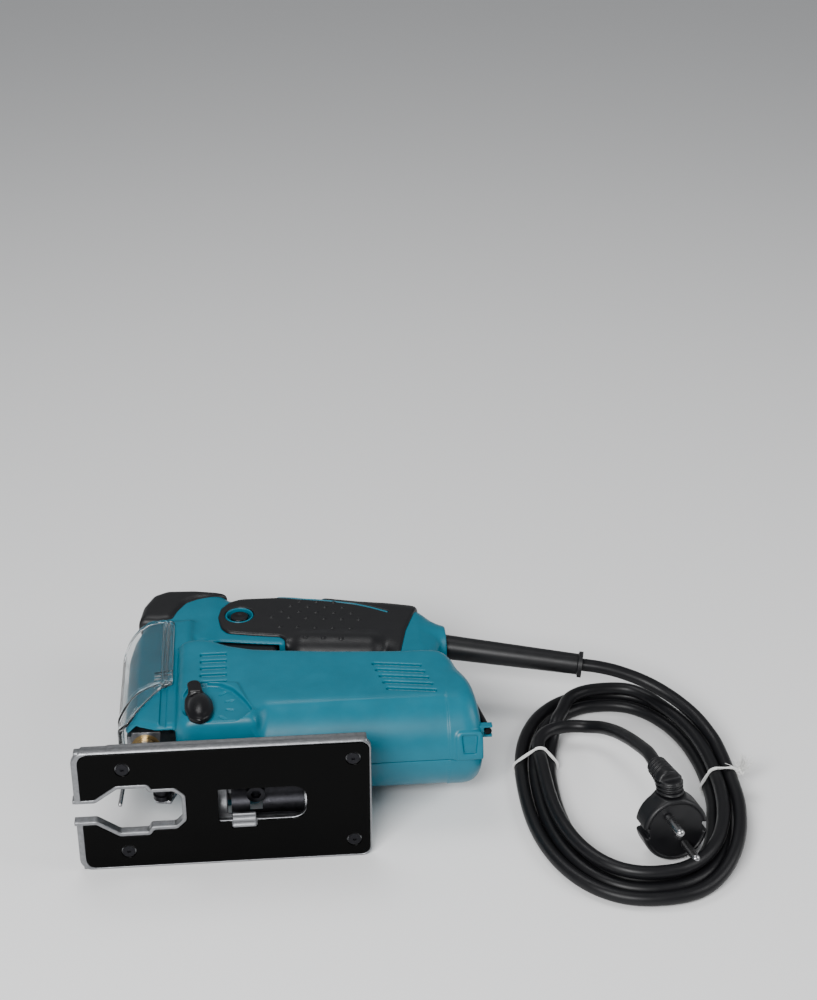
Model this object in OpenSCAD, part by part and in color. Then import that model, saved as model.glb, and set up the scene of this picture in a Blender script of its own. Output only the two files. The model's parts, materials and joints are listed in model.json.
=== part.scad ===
// Corded D-handle jigsaw, lying on its right side with its cord coiled behind it.
// Design frame: X runs from the front edge of the sole to the motor cap, Y from the
// sole up to the handle, Z across the tool from its right side to its left side.

/* [Sole] */
// Length of the sole
sole_length = 158; // [156:1:160]
// Width of the sole
sole_width = 77; // [76:1:78]
// Height of the stiffening flanges along the sole's sides
flange_height = 8; // [7.5:0.5:9]
// Outer radius of the hump that the sole tilts about
hump_r = 17; // [16.8:0.1:17]

/* [Housing] */
// Where the motor cap ends, measured from the sole's front edge
cap_end = 220; // [219:1:221]
// Half the width of the body
body_half = 31.5; // [31:0.5:32]
// Half the width of the handle without its rubber
handle_half = 16.3; // [16:0.1:16.5]
// Thickness of the rubber on the handle
rubber_t = 1.6; // [1.4:0.1:1.8]
// Top of the front pad above the sole
tool_top = 197; // [196:0.5:198]

/* [Drive] */
// Height of the motor axis above the sole
motor_y = 62; // [61.5:0.5:62.5]
// Outer radius of the motor barrel
barrel_r = 31; // [31:0.1:31.4]
// Teeth on the motor pinion
pinion_teeth = 9; // [9:1:9]
// Teeth on the crank gear
gear_teeth = 63; // [63:1:63]
// Tooth module
tooth_module = 0.7; // [0.7:0.1:0.7]
// Stroke of the blade
stroke = 18; // [16:1:18]

/* [Cord] */
// Diameter of the cord
cord_d = 7.6; // [7:0.1:8]
// Height of the coil where its turns cross
coil_h = 20; // [18:1:22]

/* [Hidden] */

$fn = 48;
teal = [0.0, 0.5, 0.6];
black = [0.06, 0.06, 0.07];
dark = [0.16, 0.16, 0.18];
alloy = [0.72, 0.73, 0.75];
steel = [0.55, 0.56, 0.58];
copper = [0.78, 0.45, 0.22];
bronze = [0.72, 0.55, 0.25];
white = [0.92, 0.92, 0.9];

mid_z = sole_width / 2;
frame_x = 114.25;
frame_y = tool_top / 2;
wall = 3;

// Drive line
pinion_r = pinion_teeth * tooth_module / 2;
gear_r = gear_teeth * tooth_module / 2;
gear_y = motor_y + pinion_r + gear_r;
gear_x = 58;
gear_w = 8;
crank_r = stroke / 2;
shaft_r = 4;
fit = 0.05;
rod_x = 35.5;
rod_r = 5.5;
rod_low = 46;
rod_high = 136;
yoke_x = 44.5;
yoke_t = 6;
crank_roller_r = 5;

// Motor
fan_x = 97;
core_x = 118;
core_len = 50;
armature_r = 16.8;
field_in_r = 17.3;
field_out_r = 27.8;
commutator_x = 181;
commutator_r = 10.5;
front_bearing_x = 72;
rear_bearing_x = 201;

// Base
tilt_y = 4;
plate_t = 4;
cover_t = 1.3;
hump_in_r = hump_r - 3.5;
hump_x = [68, 130];
clamp_x = [82.6, 122];
bolt_x = 96;
slide_back = 12;
bolt_r = 3;
sole_screw_x = [26.5, 148.5];
sole_screw_z = 27;
window_x = [76, 123];
window_half = 10.6;

// Controls
selector_at = [66.4, 53];
pocket_r = 22.6;
lock_at = [89, 164.5];
handle_screws = [[62, 134], [63, 170], [196, 124]];
body_screws = [[130, 96.3], [171, 95.7], [200, 94]];
screw_at = concat(handle_screws, body_screws);
arm_pivot = [56, 42];
roller_at = [45.5, 16.5];
roller_r = 5;

// Hex key: from the bend at its top to its tip beside the clip
key_r = 2;
key_bend = [209.5, 87];
key_lean = 11;
key_out = 7;
key_leg = 50;
key_reach = 16;
key_z = 12;
clip_end = 228.5;

// Cord guard and the cord's route, in the frame whose Z starts at the floor
guard_from = [209, 147, 38.5];
guard_to = [294, 127.4, 33];
guard_r = [7.8, 6.3];
cord_r = cord_d / 2;
coil_centre = [307.5, 41];
coil_out = [63.5, 99];
coil_in = [37.5, 74];
coil_power = 2.3;
lead_points = [[294, 127.4, 33], [303, 125.3, 32.4], [312, 123.1, 31], [321, 120.4, 28.8],
    [330, 116.8, 26.2], [338.8, 111, 23.6], [347.3, 102.5, 21]];
tail_points = [[263.1, 84, 12.3], [271, 91.4, 12.3], [282, 94, 12], [292, 91.4, 13], [299.5, 84, 17],
    [305, 71, 23], [309, 56, 29], [312, 41, 34.5], [314.2, 26.5, 39.5], [315.3, 13, 42]];
plug_centre = [321.5, -14.5, 19.2];
plug_boot = [315.3, 13, 42];
plug_neck = [319.6, -4, 42];
plug_r = 18.3;
plug_t = 13;
plug_lean = 10;
tie_left = [[243.8, 273.2], [66, 69]];
tie_right = [[343.4, 372.5], [38, 41]];
tie_t = 1.2;

// ---------- placing ----------

module tool_frame() {
    translate([-frame_x, -frame_y, mid_z]) children();
}

module floor_frame() {
    translate([-frame_x, -frame_y, 0]) children();
}

module along_x(x, y, z = 0) {
    translate([x, y, z]) rotate([0, 90, 0]) children();
}

module rod_x(x0, x1, y, r, z = 0) {
    along_x(x0, y, z) cylinder(r = r, h = x1 - x0);
}

module rod_y(y0, y1, x, r, z = 0) {
    translate([x, y0, z]) rotate([-90, 0, 0]) cylinder(r = r, h = y1 - y0);
}

module rod_z(z0, z1, at, r) {
    translate([at[0], at[1], z0]) cylinder(r = r, h = z1 - z0);
}

module block(x, y, z) {
    translate([x[0], y[0], z[0]]) cube([x[1] - x[0], y[1] - y[0], z[1] - z[0]]);
}

// A side view outline, as thick as the given half width on both sides of the middle
module side(points, half) {
    translate([0, 0, -half]) linear_extrude(2 * half) polygon(points);
}

// A top view outline of X against Z, mirrored about the middle
module plan(half_points, y0, y1) {
    count = len(half_points);
    back = [for (i = [count - 1 : -1 : 0]) [half_points[i][0], -half_points[i][1]]];
    translate([0, y1, 0]) rotate([90, 0, 0])
        linear_extrude(y1 - y0) polygon(concat(half_points, back));
}

module left_half() {
    intersection() {
        children();
        block([-20, 400], [-20, 400], [0, 60]);
    }
}

module right_half() {
    intersection() {
        children();
        block([-20, 400], [-20, 400], [-60, 0]);
    }
}

// ---------- housing ----------

nose_side = [[23, 60], [23, 127], [28, 145.5], [37.5, 155], [52, 155], [52, 44], [42, 48]];
nose_plan = [[23, 10], [31, 18.6], [52, 21.6]];
body_side = [[51, 41], [58, 36.4], [98, 36.4], [104, 50], [212, 50], [cap_end - 1, 62],
    [217, 74], [212, 93], [207, 100.5], [178, 101], [140, 104], [112, 107.3], [97, 109.5],
    [84, 114], [72, 121.5], [51, 124]];
body_plan = [[51, 24.4], [56, 29], [62, body_half], [198, body_half], [212, 28], [cap_end, 24]];
column_side = [[51.2, 116], [72, 116], [73, 142], [73, 191.4], [62, tool_top - 3],
    [46, tool_top - 2.4], [38.5, 190], [33, 177], [30, 160], [36, 154.6], [51.2, 154.6]];
handle_side = [[71, 140.5], [82, 138], [97, 135.3], [114, 132.6], [168, 131], [176, 121],
    [180, 98], [207, 98], [205, 118], [211, 133], [211, 155], [203, 163], [196, 170],
    [162, 178], [144, 183], [118, 187.4], [100, 189], [71, 190]];
handle_plan = [[71, handle_half], [196, handle_half], [207, 13], [211, 10.5]];

nose_hollow_plan = [[25.5, 8], [31, 15.3], [53, 18.4]];
body_hollow_side = [[52.5, 41], [58, 40], [96, 40], [101, 53], [204, 53], [208, 62], [207, 74],
    [203, 92], [199, 97.5], [177, 97.8], [140, 100.8], [112, 104], [98, 106], [84, 110.5],
    [71, 118.5], [52.5, 119.5]];
body_hollow_plan = [[52, 21.5], [57, 26.5], [63, body_half - wall], [197, body_half - wall],
    [210, 25]];
column_hollow_side = [[53, 117], [68.5, 117], [69, 144], [70.5, 145], [70.5, 187], [61, 190.5],
    [48, 191], [41, 187], [36, 176], [33.5, 163], [38, 158], [53, 158]];
handle_hollow_side = [[69, 145], [112, 143], [170, 138.2], [179, 122], [183, 95], [202, 95],
    [201.5, 119], [207.5, 134], [207.5, 153], [201, 159], [194, 165], [162, 173],
    [144, 179], [118, 183.5], [100, 185.5], [69, 186.5]];

module barrel(r, x0, x1, end_r) {
    along_x(x0, motor_y) rotate_extrude()
        polygon([[0, 0], [r, 0], [r, x1 - x0 - 9], [end_r, x1 - x0], [0, x1 - x0]]);
}

module shell_outside() {
    intersection() {
        side(nose_side, 30);
        plan(nose_plan, 30, 160);
    }
    intersection() {
        side(body_side, 40);
        plan(body_plan, 30, 130);
    }
    barrel(barrel_r, 96, cap_end, 26);
    side(column_side, 18.5);
    intersection() {
        side(handle_side, 30);
        plan(handle_plan, 90, 195);
    }
}

module shell_hollow() {
    plan(nose_hollow_plan, 30, 151);
    block([18, 30], [40, 112], [-8.5, 8.5]);
    intersection() {
        side(body_hollow_side, 40);
        plan(body_hollow_plan, 30, 125);
    }
    block([50, 84], [30, 42], [-14, 14]);
    barrel(barrel_r - wall, 93, cap_end - wall, 24);
    side(column_hollow_side, 15.5);
    side(handle_hollow_side, handle_half - 2.8);
    block([74, 112.4], [124, 154], [-14.7, 14.7]);
}

// Seat of the rear bearing, on a web across the end of the barrel
module bearing_seat() {
    difference() {
        union() {
            rod_x(rear_bearing_x - 0.2, 208, motor_y, 12.6);
            rod_x(207.3, 209.5, motor_y, barrel_r - 2);
        }
        rod_x(rear_bearing_x - 1, 207.1, motor_y, 9.53);
        rod_x(200, 212, motor_y, shaft_r);
    }
}

module vents() {
    for (i = [0 : 4]) {
        block([66.4, 81.8], [72.8 + 7.05 * i, 75.8 + 7.05 * i], [-40, 40]);
        translate([170.5 - 1.6 * i, 58.5 + 6.4 * i, -40]) rotate([0, 0, -9])
            cube([28.5, 2.6, 80]);
    }
}

module bosses() {
    for (at = handle_screws) {
        rod_z(-handle_half + 0.5, 0, at, 5.6);
        rod_z(0, handle_half - 0.5, at, 4.2);
    }
    for (at = body_screws) {
        rod_z(-body_half + 1, 0, at, 5.6);
        rod_z(0, body_half - 1, at, 4.2);
    }
}

module screw_holes() {
    for (at = screw_at) {
        rod_z(-50, -10.3, at, 4.1);
        rod_z(-14, 14, at, 1.95);
    }
}

module shell() {
    difference() {
        union() {
            difference() {
                shell_outside();
                shell_hollow();
            }
            bosses();
            bearing_seat();
        }
        screw_holes();
        vents();
        guard_socket();
    }
}

// Slots in the nose sides that the ribs of the dust cover run in
module cover_slots() {
    for (s = [-1, 1])
        block([44.4, 47.6], [44, 153], s > 0 ? [19.4, 24] : [-24, -19.4]);
}

// Finger pocket that the selector lever sits in
module selector_pocket() {
    translate([0, 0, body_half - 3]) {
        translate(selector_at) cylinder(r = pocket_r, h = 10);
        linear_extrude(10) polygon([[78, 36.4], [89, 38], [95.5, 46], [87, 62], [72, 60]]);
    }
}

module key_frame() {
    translate([key_bend[0], key_bend[1], key_z]) rotate([0, 0, key_lean]) children();
}

// The way that the key's leg takes out of its groove and clip
module key_groove() {
    gap = key_r + 0.3;
    key_frame() {
        block([key_out - gap, 40], [-60, 0], [-gap, gap]);
        block([0, 40], [-2 * gap, gap], [-gap, gap]);
    }
}

// Open hook that the tip of the key snaps into
module key_clip() {
    difference() {
        block([212, clip_end], [38.5, 43.5], [key_z - 4.5, key_z + 4.5]);
        key_groove();
        barrel(barrel_r - wall, 93, cap_end - wall, 24);
    }
}

module housing_left() {
    color(teal) tool_frame() {
        difference() {
            left_half() shell();
            cover_slots();
            selector_pocket();
            rod_z(0, 50, selector_at, 4.4);
            rod_z(0, 30, lock_at, 5.8);
            key_frame() rod_x(-key_reach - 2, 12, 0, key_r + 0.3);
            key_groove();
        }
        key_clip();
    }
}

module housing_right() {
    color(teal) tool_frame() difference() {
        right_half() shell();
        cover_slots();
    }
}

grip_side = [[75.5, 163], [77.5, 173], [83, 180.5], [90, 184], [100, 185], [118, 183.3],
    [129, 180.5], [144.6, 176.4], [160, 171.4], [176, 167], [195, 164], [188.5, 141],
    [184.5, 122], [181.5, 112], [176.5, 118], [167, 130.5], [115.5, 132], [113, 139.2],
    [97, 142.2], [82, 145.6], [78, 151]];

module grip() {
    difference() {
        side(grip_side, handle_half + rubber_t);
        side(handle_side, handle_half + 0.02);
        rod_z(0, 40, lock_at, 8.2);
    }
}

module grip_left() {
    color(black) tool_frame() left_half() grip();
}

module grip_right() {
    color(black) tool_frame() right_half() grip();
}

module front_pad() {
    color(black) tool_frame() difference() {
        side([[28, 161], [40, 158.5], [50, 160], [53, 169], [58, 179], [64, 182.5], [71, 183],
            [81, 188], [81.5, 192.3], [62, tool_top - 1], [45, tool_top], [36, 192],
            [30.5, 178]], 20.3);
        side(column_side, 18.6);
        side(handle_side, handle_half + 0.1);
    }
}

module housing_screws() {
    color(steel) tool_frame() for (at = screw_at) difference() {
        union() {
            rod_z(-12.9, -10.4, at, 3.7);
            rod_z(-10.6, 13.5, at, 1.8);
        }
        rod_z(-14, -11.4, at, 1.4);
    }
}

// ---------- gear case and drive ----------

module gear_case() {
    color(alloy) tool_frame() difference() {
        union() {
            block([70, 82], [44, 109.5], [-26, 26]);
            block([55.5, 71], [46, 58], [-23, 23]);
            block([28, 56], [58, 67.5], [-9.5, 9.5]);
            block([44, 56], [46, 60], [-9.5, 9.5]);
            block([25, 30], [59.5, 67.5], [-6, 6]);
            block([60, 72], [111.5, 116.5], [-13, 13]);
            block([67, 72], [104, 112], [-13, 13]);
            block([28, 71], [111.8, 117], [-9.5, 9.5]);
            block([28, 44], [108.5, 122], [-9.5, 9.5]);
            block([70, 82], [28, 46], [-11, 11]);
            block([70, 116], [20, 29.8], [-11, 11]);
            block([51, 61], [37, 48], [7.5, 11]);
            block([51, 61], [37, 48], [-11, -7.5]);
            block([61.5, 71], [38, 47], [-11, 11]);
            block([60, 62], [38, 47], [7.5, 11]);
            block([60, 62], [38, 47], [-11, -7.5]);
        }
        rod_x(60, 130, tilt_y, hump_r + 0.3);
        rod_x(69, 83, gear_y, shaft_r);
        rod_x(69, 83, motor_y, 11);
        rod_y(50, 130, rod_x, 8);
        rod_y(10, 40, bolt_x, bolt_r);
        rod_z(0, 40, selector_at, 4.1);
        rod_z(-20, 20, arm_pivot, 2.02);
    }
}

module slider_bushes() {
    color(bronze) tool_frame() for (y = [[58.3, 67.2], [108.8, 121.7]]) difference() {
        rod_y(y[0], y[1], rod_x, 7.95);
        rod_y(y[0] - 1, y[1] + 1, rod_x, rod_r + fit);
    }
}

module gear_axle() {
    color(steel) tool_frame() rod_x(gear_x + 1.5, 82, gear_y, shaft_r - 0.02);
}

module ball_bearing(x, w, r_out, r_in) {
    ball_r = (r_out - r_in) * 0.25;
    pitch_r = (r_out + r_in) / 2;
    along_x(x, motor_y) {
        difference() {
            cylinder(r = r_out, h = w);
            translate([0, 0, -1]) cylinder(r = pitch_r + ball_r * 0.6, h = w + 2);
        }
        difference() {
            cylinder(r = pitch_r - ball_r * 0.6, h = w);
            translate([0, 0, -1]) cylinder(r = r_in, h = w + 2);
        }
        translate([0, 0, w / 2 - 0.5]) difference() {
            cylinder(r = pitch_r + ball_r * 0.8, h = 1);
            translate([0, 0, -1]) cylinder(r = pitch_r - ball_r * 0.8, h = 3);
        }
    }
}

module front_bearing() {
    color(steel) tool_frame() ball_bearing(front_bearing_x, 7, 10.98, shaft_r + fit);
}

module rear_bearing() {
    color(steel) tool_frame() ball_bearing(rear_bearing_x, 6, 9.5, 3 + fit);
}

module fan_baffle() {
    color(dark) tool_frame() difference() {
        rod_x(fan_x + 10, fan_x + 12, motor_y, barrel_r - wall - 0.1);
        rod_x(fan_x + 9, fan_x + 13, motor_y, 18);
    }
}

module sector_ring(r0, r1, x0, x1, half_angle) {
    along_x(x0, motor_y) for (a = [0, 180]) rotate([0, 0, a - half_angle])
        rotate_extrude(angle = 2 * half_angle)
            polygon([[r0, 0], [r1, 0], [r1, x1 - x0], [r0, x1 - x0]]);
}

module field_core() {
    color(steel) tool_frame() difference() {
        rod_x(core_x, core_x + core_len, motor_y, field_out_r);
        rod_x(core_x - 1, core_x + core_len + 1, motor_y, field_in_r);
        sector_ring(field_in_r - 1, 24.3, core_x - 1, core_x + core_len + 1, 34);
    }
}

module field_coils() {
    color(copper) tool_frame() {
        sector_ring(18, 24, core_x - 4, core_x + core_len + 4, 31);
        for (x = [core_x - 8, core_x + core_len + 1]) difference() {
            rod_x(x + 0.5, x + 6.5, motor_y, 25.5);
            rod_x(x - 1, x + 9, motor_y, 18);
            sector_ring(17, 24.2, x - 1, x + 9, 31.3);
        }
    }
}

module brush_holders() {
    color(bronze) tool_frame() for (s = [-1, 1]) difference() {
        block([commutator_x + 0.5, commutator_x + 10.5], [motor_y - 6, motor_y + 6],
            s > 0 ? [12.5, 27] : [-27, -12.5]);
        block([commutator_x + 2.4, commutator_x + 8.6], [motor_y - 4.1, motor_y + 4.1],
            s > 0 ? [12, 26] : [-26, -12]);
    }
}

module carbon_brushes() {
    color(dark) tool_frame() for (s = [-1, 1])
        block([commutator_x + 2.5, commutator_x + 8.5], [motor_y - 4, motor_y + 4],
            s > 0 ? [commutator_r + 0.3, 20] : [-20, -commutator_r - 0.3]);
}

module brush_springs() {
    turns = 4;
    steps = 8;
    color(steel) tool_frame() for (s = [-1, 1]) {
        path = [for (i = [0 : turns * steps]) let (a = 360 * i / steps)
            [commutator_x + 5.5 + 2.1 * cos(a), motor_y + 2.1 * sin(a),
                s * (20.6 + 4.8 * i / (turns * steps))]];
        sweep(path, 0.35, 6);
    }
}

module armature_shaft() {
    color(steel) tool_frame() {
        rod_x(66, rear_bearing_x - 1, motor_y, shaft_r - 0.02);
        rod_x(rear_bearing_x - 1.5, rear_bearing_x + 7, motor_y, 2.98);
        gear_profile(pinion_teeth, gear_x, 8.5, motor_y, 90);
    }
}

module armature_core() {
    color(steel) tool_frame() difference() {
        rod_x(core_x, core_x + core_len, motor_y, armature_r);
        rod_x(core_x - 1, core_x + core_len + 1, motor_y, shaft_r);
        for (a = [0 : 30 : 330]) along_x(core_x - 1, motor_y) rotate([0, 0, a]) {
            translate([12, 0, 0]) cylinder(r = 2.3, h = core_len + 2);
            translate([12, -0.8, 0]) cube([6, 1.6, core_len + 2]);
        }
    }
}

module armature_windings() {
    color(copper) tool_frame() {
        for (x = [core_x - 7, core_x + core_len + 0.1]) difference() {
            rod_x(x, x + 6.9, motor_y, 15.2);
            rod_x(x - 1, x + 8, motor_y, shaft_r + 0.02);
        }
        for (a = [0 : 30 : 330]) along_x(core_x - 0.2, motor_y) rotate([0, 0, a])
            translate([12, 0, 0]) cylinder(r = 2.1, h = core_len + 0.5);
    }
}

module commutator() {
    color(copper) tool_frame() difference() {
        rod_x(commutator_x, commutator_x + 11, motor_y, commutator_r);
        rod_x(commutator_x - 1, commutator_x + 12, motor_y, shaft_r);
        for (a = [0 : 15 : 345]) along_x(commutator_x - 1, motor_y) rotate([0, 0, a])
            translate([commutator_r - 0.6, -0.2, 0]) cube([2, 0.4, 13]);
    }
}

module cooling_fan() {
    color(white) tool_frame() {
        difference() {
            union() {
                rod_x(fan_x, fan_x + 1.6, motor_y, 25);
                rod_x(fan_x, fan_x + 9, motor_y, 8);
            }
            rod_x(fan_x - 1, fan_x + 10, motor_y, shaft_r);
        }
        for (a = [0 : 30 : 330]) along_x(fan_x + 1.5, motor_y) rotate([0, 0, a])
            translate([11, -0.7, 0]) cube([13.5, 1.4, 8]);
    }
}

// Straight-sided teeth with backlash, so that the pair turns freely at every phase
module gear_profile(teeth, x, w, y, turn) {
    pitch_r = teeth * tooth_module / 2;
    add = 0.5;
    ded = 0.85;
    root = pitch_r - ded;
    tip = pitch_r + add;
    step = 360 / teeth;
    root_w = step * 0.30;
    tip_w = step * (teeth > 20 ? 0.13 : 0.10);
    points = [for (i = [0 : teeth - 1]) for (p = [[-root_w, root], [-tip_w, tip], [tip_w, tip],
        [root_w, root]]) let (a = turn + i * step + p[0]) [p[1] * cos(a), p[1] * sin(a)]];
    along_x(x, y) linear_extrude(w) polygon(points);
}

module crank_gear() {
    color(steel) tool_frame() difference() {
        union() {
            gear_profile(gear_teeth, gear_x, gear_w, gear_y, 180 / gear_teeth - 90);
            rod_x(gear_x + 1, 69.6, gear_y, 8);
        }
        rod_x(gear_x + 1, 70, gear_y, shaft_r + fit);
        along_x(gear_x - 1, gear_y, crank_r) cylinder(r = 3, h = 20);
        for (a = [120, 180, 240]) along_x(gear_x - 1, gear_y) rotate([0, 0, a + 90])
            translate([14.5, 0, 0]) cylinder(r = 3.5, h = 20);
    }
}

module crank_pin() {
    color(steel) tool_frame() along_x(yoke_x + yoke_t + 0.5, gear_y, crank_r)
        cylinder(r = 2.98, h = 14);
}

module crank_roller() {
    color(steel) tool_frame() along_x(yoke_x + yoke_t + 0.8, gear_y, crank_r) difference() {
        cylinder(r = crank_roller_r, h = 5.6);
        translate([0, 0, -1]) cylinder(r = 3 + fit, h = 8);
    }
}

module slider_rod() {
    color(steel) tool_frame() difference() {
        rod_y(rod_low, rod_high, rod_x, rod_r);
        rod_y(rod_high - 20, rod_high + 1, rod_x, 2.5);
        block([rod_x + 3.5, 50], [gear_y - 10, gear_y + 10], [-10, 10]);
    }
}

module slider_yoke() {
    slot = crank_roller_r + 0.1;
    color(steel) tool_frame() difference() {
        union() {
            block([yoke_x - 5.4, yoke_x], [gear_y - 9.9, gear_y + 9.9], [-6, 6]);
            block([yoke_x - 0.1, yoke_x + yoke_t], [gear_y - 9, gear_y + 9], [-16.4, 16.4]);
        }
        block([yoke_x + 1.5, yoke_x + yoke_t + 1], [gear_y - slot, gear_y + slot], [-14.2, 14.2]);
    }
}

module blade_clamp() {
    color(steel) tool_frame() difference() {
        block([30.8, 40], [31, rod_low], [-5.5, 5.5]);
        block([31.5, 39.4], [30, 43.5], [-0.9, 0.9]);
        rod_x(29, 32, 38, 2.05);
    }
}

module clamp_screw() {
    color(steel) tool_frame() difference() {
        union() {
            rod_x(28.6, 30.8, 38, 3.4);
            rod_x(30.7, 31.5, 38, 2);
        }
        along_x(28, 38) cylinder(r = 1.6, h = 1.8, $fn = 6);
    }
}

module roller_arm() {
    color(alloy) tool_frame() difference() {
        union() {
            for (s = [[4.2, 6.2], [-6.2, -4.2]])
                translate([0, 0, s[0]]) linear_extrude(2)
                    polygon([[41.8, 14], [50, 12.4], [60, 38.5], [59, 45], [54, 45], [51, 41]]);
            side([[51.8, 20], [54, 22], [59.8, 38.5], [59, 45], [54, 45], [56, 38]], 4.3);
        }
        rod_z(-20, 20, arm_pivot, 2.07);
        rod_z(-20, 20, roller_at, 1.5);
    }
}

module roller_pin() {
    color(steel) tool_frame() rod_z(-6.4, 6.4, roller_at, 1.48);
}

module guide_roller() {
    color(steel) tool_frame() translate([roller_at[0], roller_at[1], -3.9]) rotate_extrude()
        polygon([[1.55, 0], [roller_r, 0], [roller_r, 2.6], [3.9, 3.2], [3.9, 4.6],
            [roller_r, 5.2], [roller_r, 7.8], [1.55, 7.8]]);
}

module arm_pivot_pin() {
    color(steel) tool_frame() rod_z(-11, 11, arm_pivot, 2);
}

module guard_wire() {
    color(steel) tool_frame() translate([23.4, 6, 0]) rotate([0, 0, -3.2]) {
        sphere(r = 1.2);
        rod_y(0, 53.3, 0, 1.2);
    }
}

// ---------- controls ----------

module selector_lever() {
    face = body_half - 2.7;
    color(black) tool_frame() {
        rod_z(5, face + 0.2, selector_at, 4);
        translate([selector_at[0], selector_at[1], face]) {
            linear_extrude(3.2) polygon([[-5.5, 14], [-1, 16], [3, 12], [7.5, 2], [8.5, -6],
                [6, -14], [1, -17], [-5, -14], [-8, -4], [-8, 6]]);
            translate([0, 0, 3.1]) linear_extrude(2.4)
                polygon([[-5.5, 12], [-6.5, 21], [-4, 24], [-0.5, 23.4], [1.5, 19], [2.5, 12]]);
            hull() {
                translate([-2, 9, 3]) cylinder(r = 4, h = 0.2, $fn = 24);
                translate([1.5, -9, 3]) cylinder(r = 5.5, h = 0.2, $fn = 24);
                translate([-1, 6, 6.2]) cylinder(r = 2, h = 0.6, $fn = 24);
                translate([1.5, -9, 6.6]) cylinder(r = 3.4, h = 0.6, $fn = 24);
            }
        }
    }
}

module switch_body() {
    color(dark) tool_frame() difference() {
        block([80, 112], [159, 178], [-9, 9]);
        rod_y(158, 172, 92, 2.9);
    }
}

module switch_trigger() {
    color(black) tool_frame() {
        side([[75.5, 138.2], [78, 133.5], [86, 129.8], [104, 127.5], [111, 127.5], [111.6, 147],
            [75.5, 147]], 14.2);
        rod_y(146, 161, 92, 2.5);
    }
}

module lock_button() {
    color(black) tool_frame() rod_z(12.8, 17.2, lock_at, 5.4);
}

module suppressor() {
    color(bronze) tool_frame() block([54, 68], [148, 161], [-7, 7]);
}

module cord_clamp() {
    color(dark) guard_frame() difference() {
        translate([-cord_r - 2.5, -9, -20]) cube([4, 18, 9]);
        translate([0, 0, -21]) cylinder(r = cord_r + 0.05, h = 11);
    }
}

module dust_cover() {
    outer = [[20.6, 12.4], [30, 21.2], [50.6, 24]];
    inner = [[22.7, 10.2], [31, 18.95], [50.7, 21.85], [60, 22]];
    color([0.85, 0.9, 0.92, 0.5]) tool_frame() {
        intersection() {
            difference() {
                plan(outer, 40, 160);
                plan(inner, 30, 170);
            }
            side([[19, 60], [19, 127], [24, 143], [35, 153], [44, 154], [50.7, 150], [50.7, 84],
                [38, 73], [28, 64]], 30);
        }
        for (s = [-1, 1])
            block([45, 47], [82, 150], s > 0 ? [19.8, 22.2] : [-22.2, -19.8]);
    }
}

// ---------- base ----------

fork_half = [[-5, 6], [11, 6], [23, 14.5], [38, 14.5], [39.5, 11.3], [52.5, 11.3], [56.5, 7.3]];

module fork(y0, y1, grow) {
    grown = [for (p = fork_half) [p[0] + (p[0] > 50 ? grow : p[0] > 30 ? grow * 0.3 : 0), p[1] + grow]];
    plan(grown, y0, y1);
}

module base_plate() {
    half = sole_width / 2;
    color(alloy) tool_frame() difference() {
        union() {
            plan([[0, half - 4.5], [1.3, half - 1.3], [4.5, half], [sole_length - 3, half],
                [sole_length, half - 3]], 0, plate_t);
            for (s = [-1, 1]) {
                block([19, sole_length - 2], [plate_t - 1, flange_height],
                    s > 0 ? [half - 2.8, half] : [-half, -half + 2.8]);
                block([5, 20], [plate_t - 1, flange_height - 0.7],
                    s > 0 ? [half - 2.8, half] : [-half, -half + 2.8]);
                block([1.4, 5.4], [plate_t - 1, flange_height - 2],
                    s > 0 ? [half - 2.8, half - 0.6] : [-half + 0.6, -half + 2.8]);
            }
            intersection() {
                rod_x(hump_x[0], hump_x[1], tilt_y, hump_r);
                block([0, 200], [tilt_y - 1, 60], [-40, 40]);
            }
            intersection() {
                fork(0, 5.6, 2.2);
                block([0, 100], [0, 10], [-30, 30]);
            }
        }
        fork(-1, 20, 0);
        intersection() {
            rod_x(hump_x[0] + 2, hump_x[1] - 2, tilt_y, hump_in_r);
            block([0, 200], [tilt_y, 60], [-40, 40]);
        }
        block(window_x, [-1, tilt_y + 0.1], [-window_half, window_half]);
        along_x(bolt_x - slide_back - bolt_r - 0.4, tilt_y) rotate([0, 0, 90 - 63])
            rotate_extrude(angle = 126) square([hump_r + 2, slide_back + 2 * bolt_r + 0.8]);
        sole_recess(0.1);
        for (x = sole_screw_x) for (s = [-1, 1]) rod_y(-1, 12, x, 1.8, s * sole_screw_z);
    }
}

module sole_recess(grow) {
    half = sole_width / 2 - 1.2 + grow;
    difference() {
        plan([[3.2 - grow, half - 3], [6.2, half], [sole_length - 4, half],
            [sole_length - 0.9 + grow, half - 3]], -1, cover_t + grow);
        fork(-2, 5, 2.2 - grow);
    }
}

module sole_cover() {
    color(black) tool_frame() difference() {
        intersection() {
            sole_recess(0);
            block([0, 200], [0, 5], [-50, 50]);
        }
        block(window_x, [-1, 5], [-window_half, window_half]);
        block([82.8, 96], [-1, 5], [-14.8, 0]);
        for (x = sole_screw_x) for (s = [-1, 1])
            translate([x, -0.1, s * sole_screw_z]) rotate([-90, 0, 0])
                cylinder(r1 = 3.7, r2 = 1.8, h = cover_t + 0.2);
    }
}

module sole_clip() {
    color(alloy) tool_frame() difference() {
        block([83, 95.8], [0.1, cover_t], [-14.6, -5]);
        for (z = [-12.5, -10, -7.5]) block([82, 97], [-1, 0.5], [z - 0.5, z + 0.5]);
    }
}

module sole_screws() {
    color(steel) tool_frame() for (x = sole_screw_x) for (s = [-1, 1])
        translate([x, 0, s * sole_screw_z]) rotate([-90, 0, 0]) difference() {
            union() {
                cylinder(r1 = 3.5, r2 = 1.6, h = cover_t + 0.1);
                cylinder(r = 1.6, h = plate_t + 1);
            }
            translate([0, 0, -1]) cylinder(r = 1.1, h = 1.7);
        }
}

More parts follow.
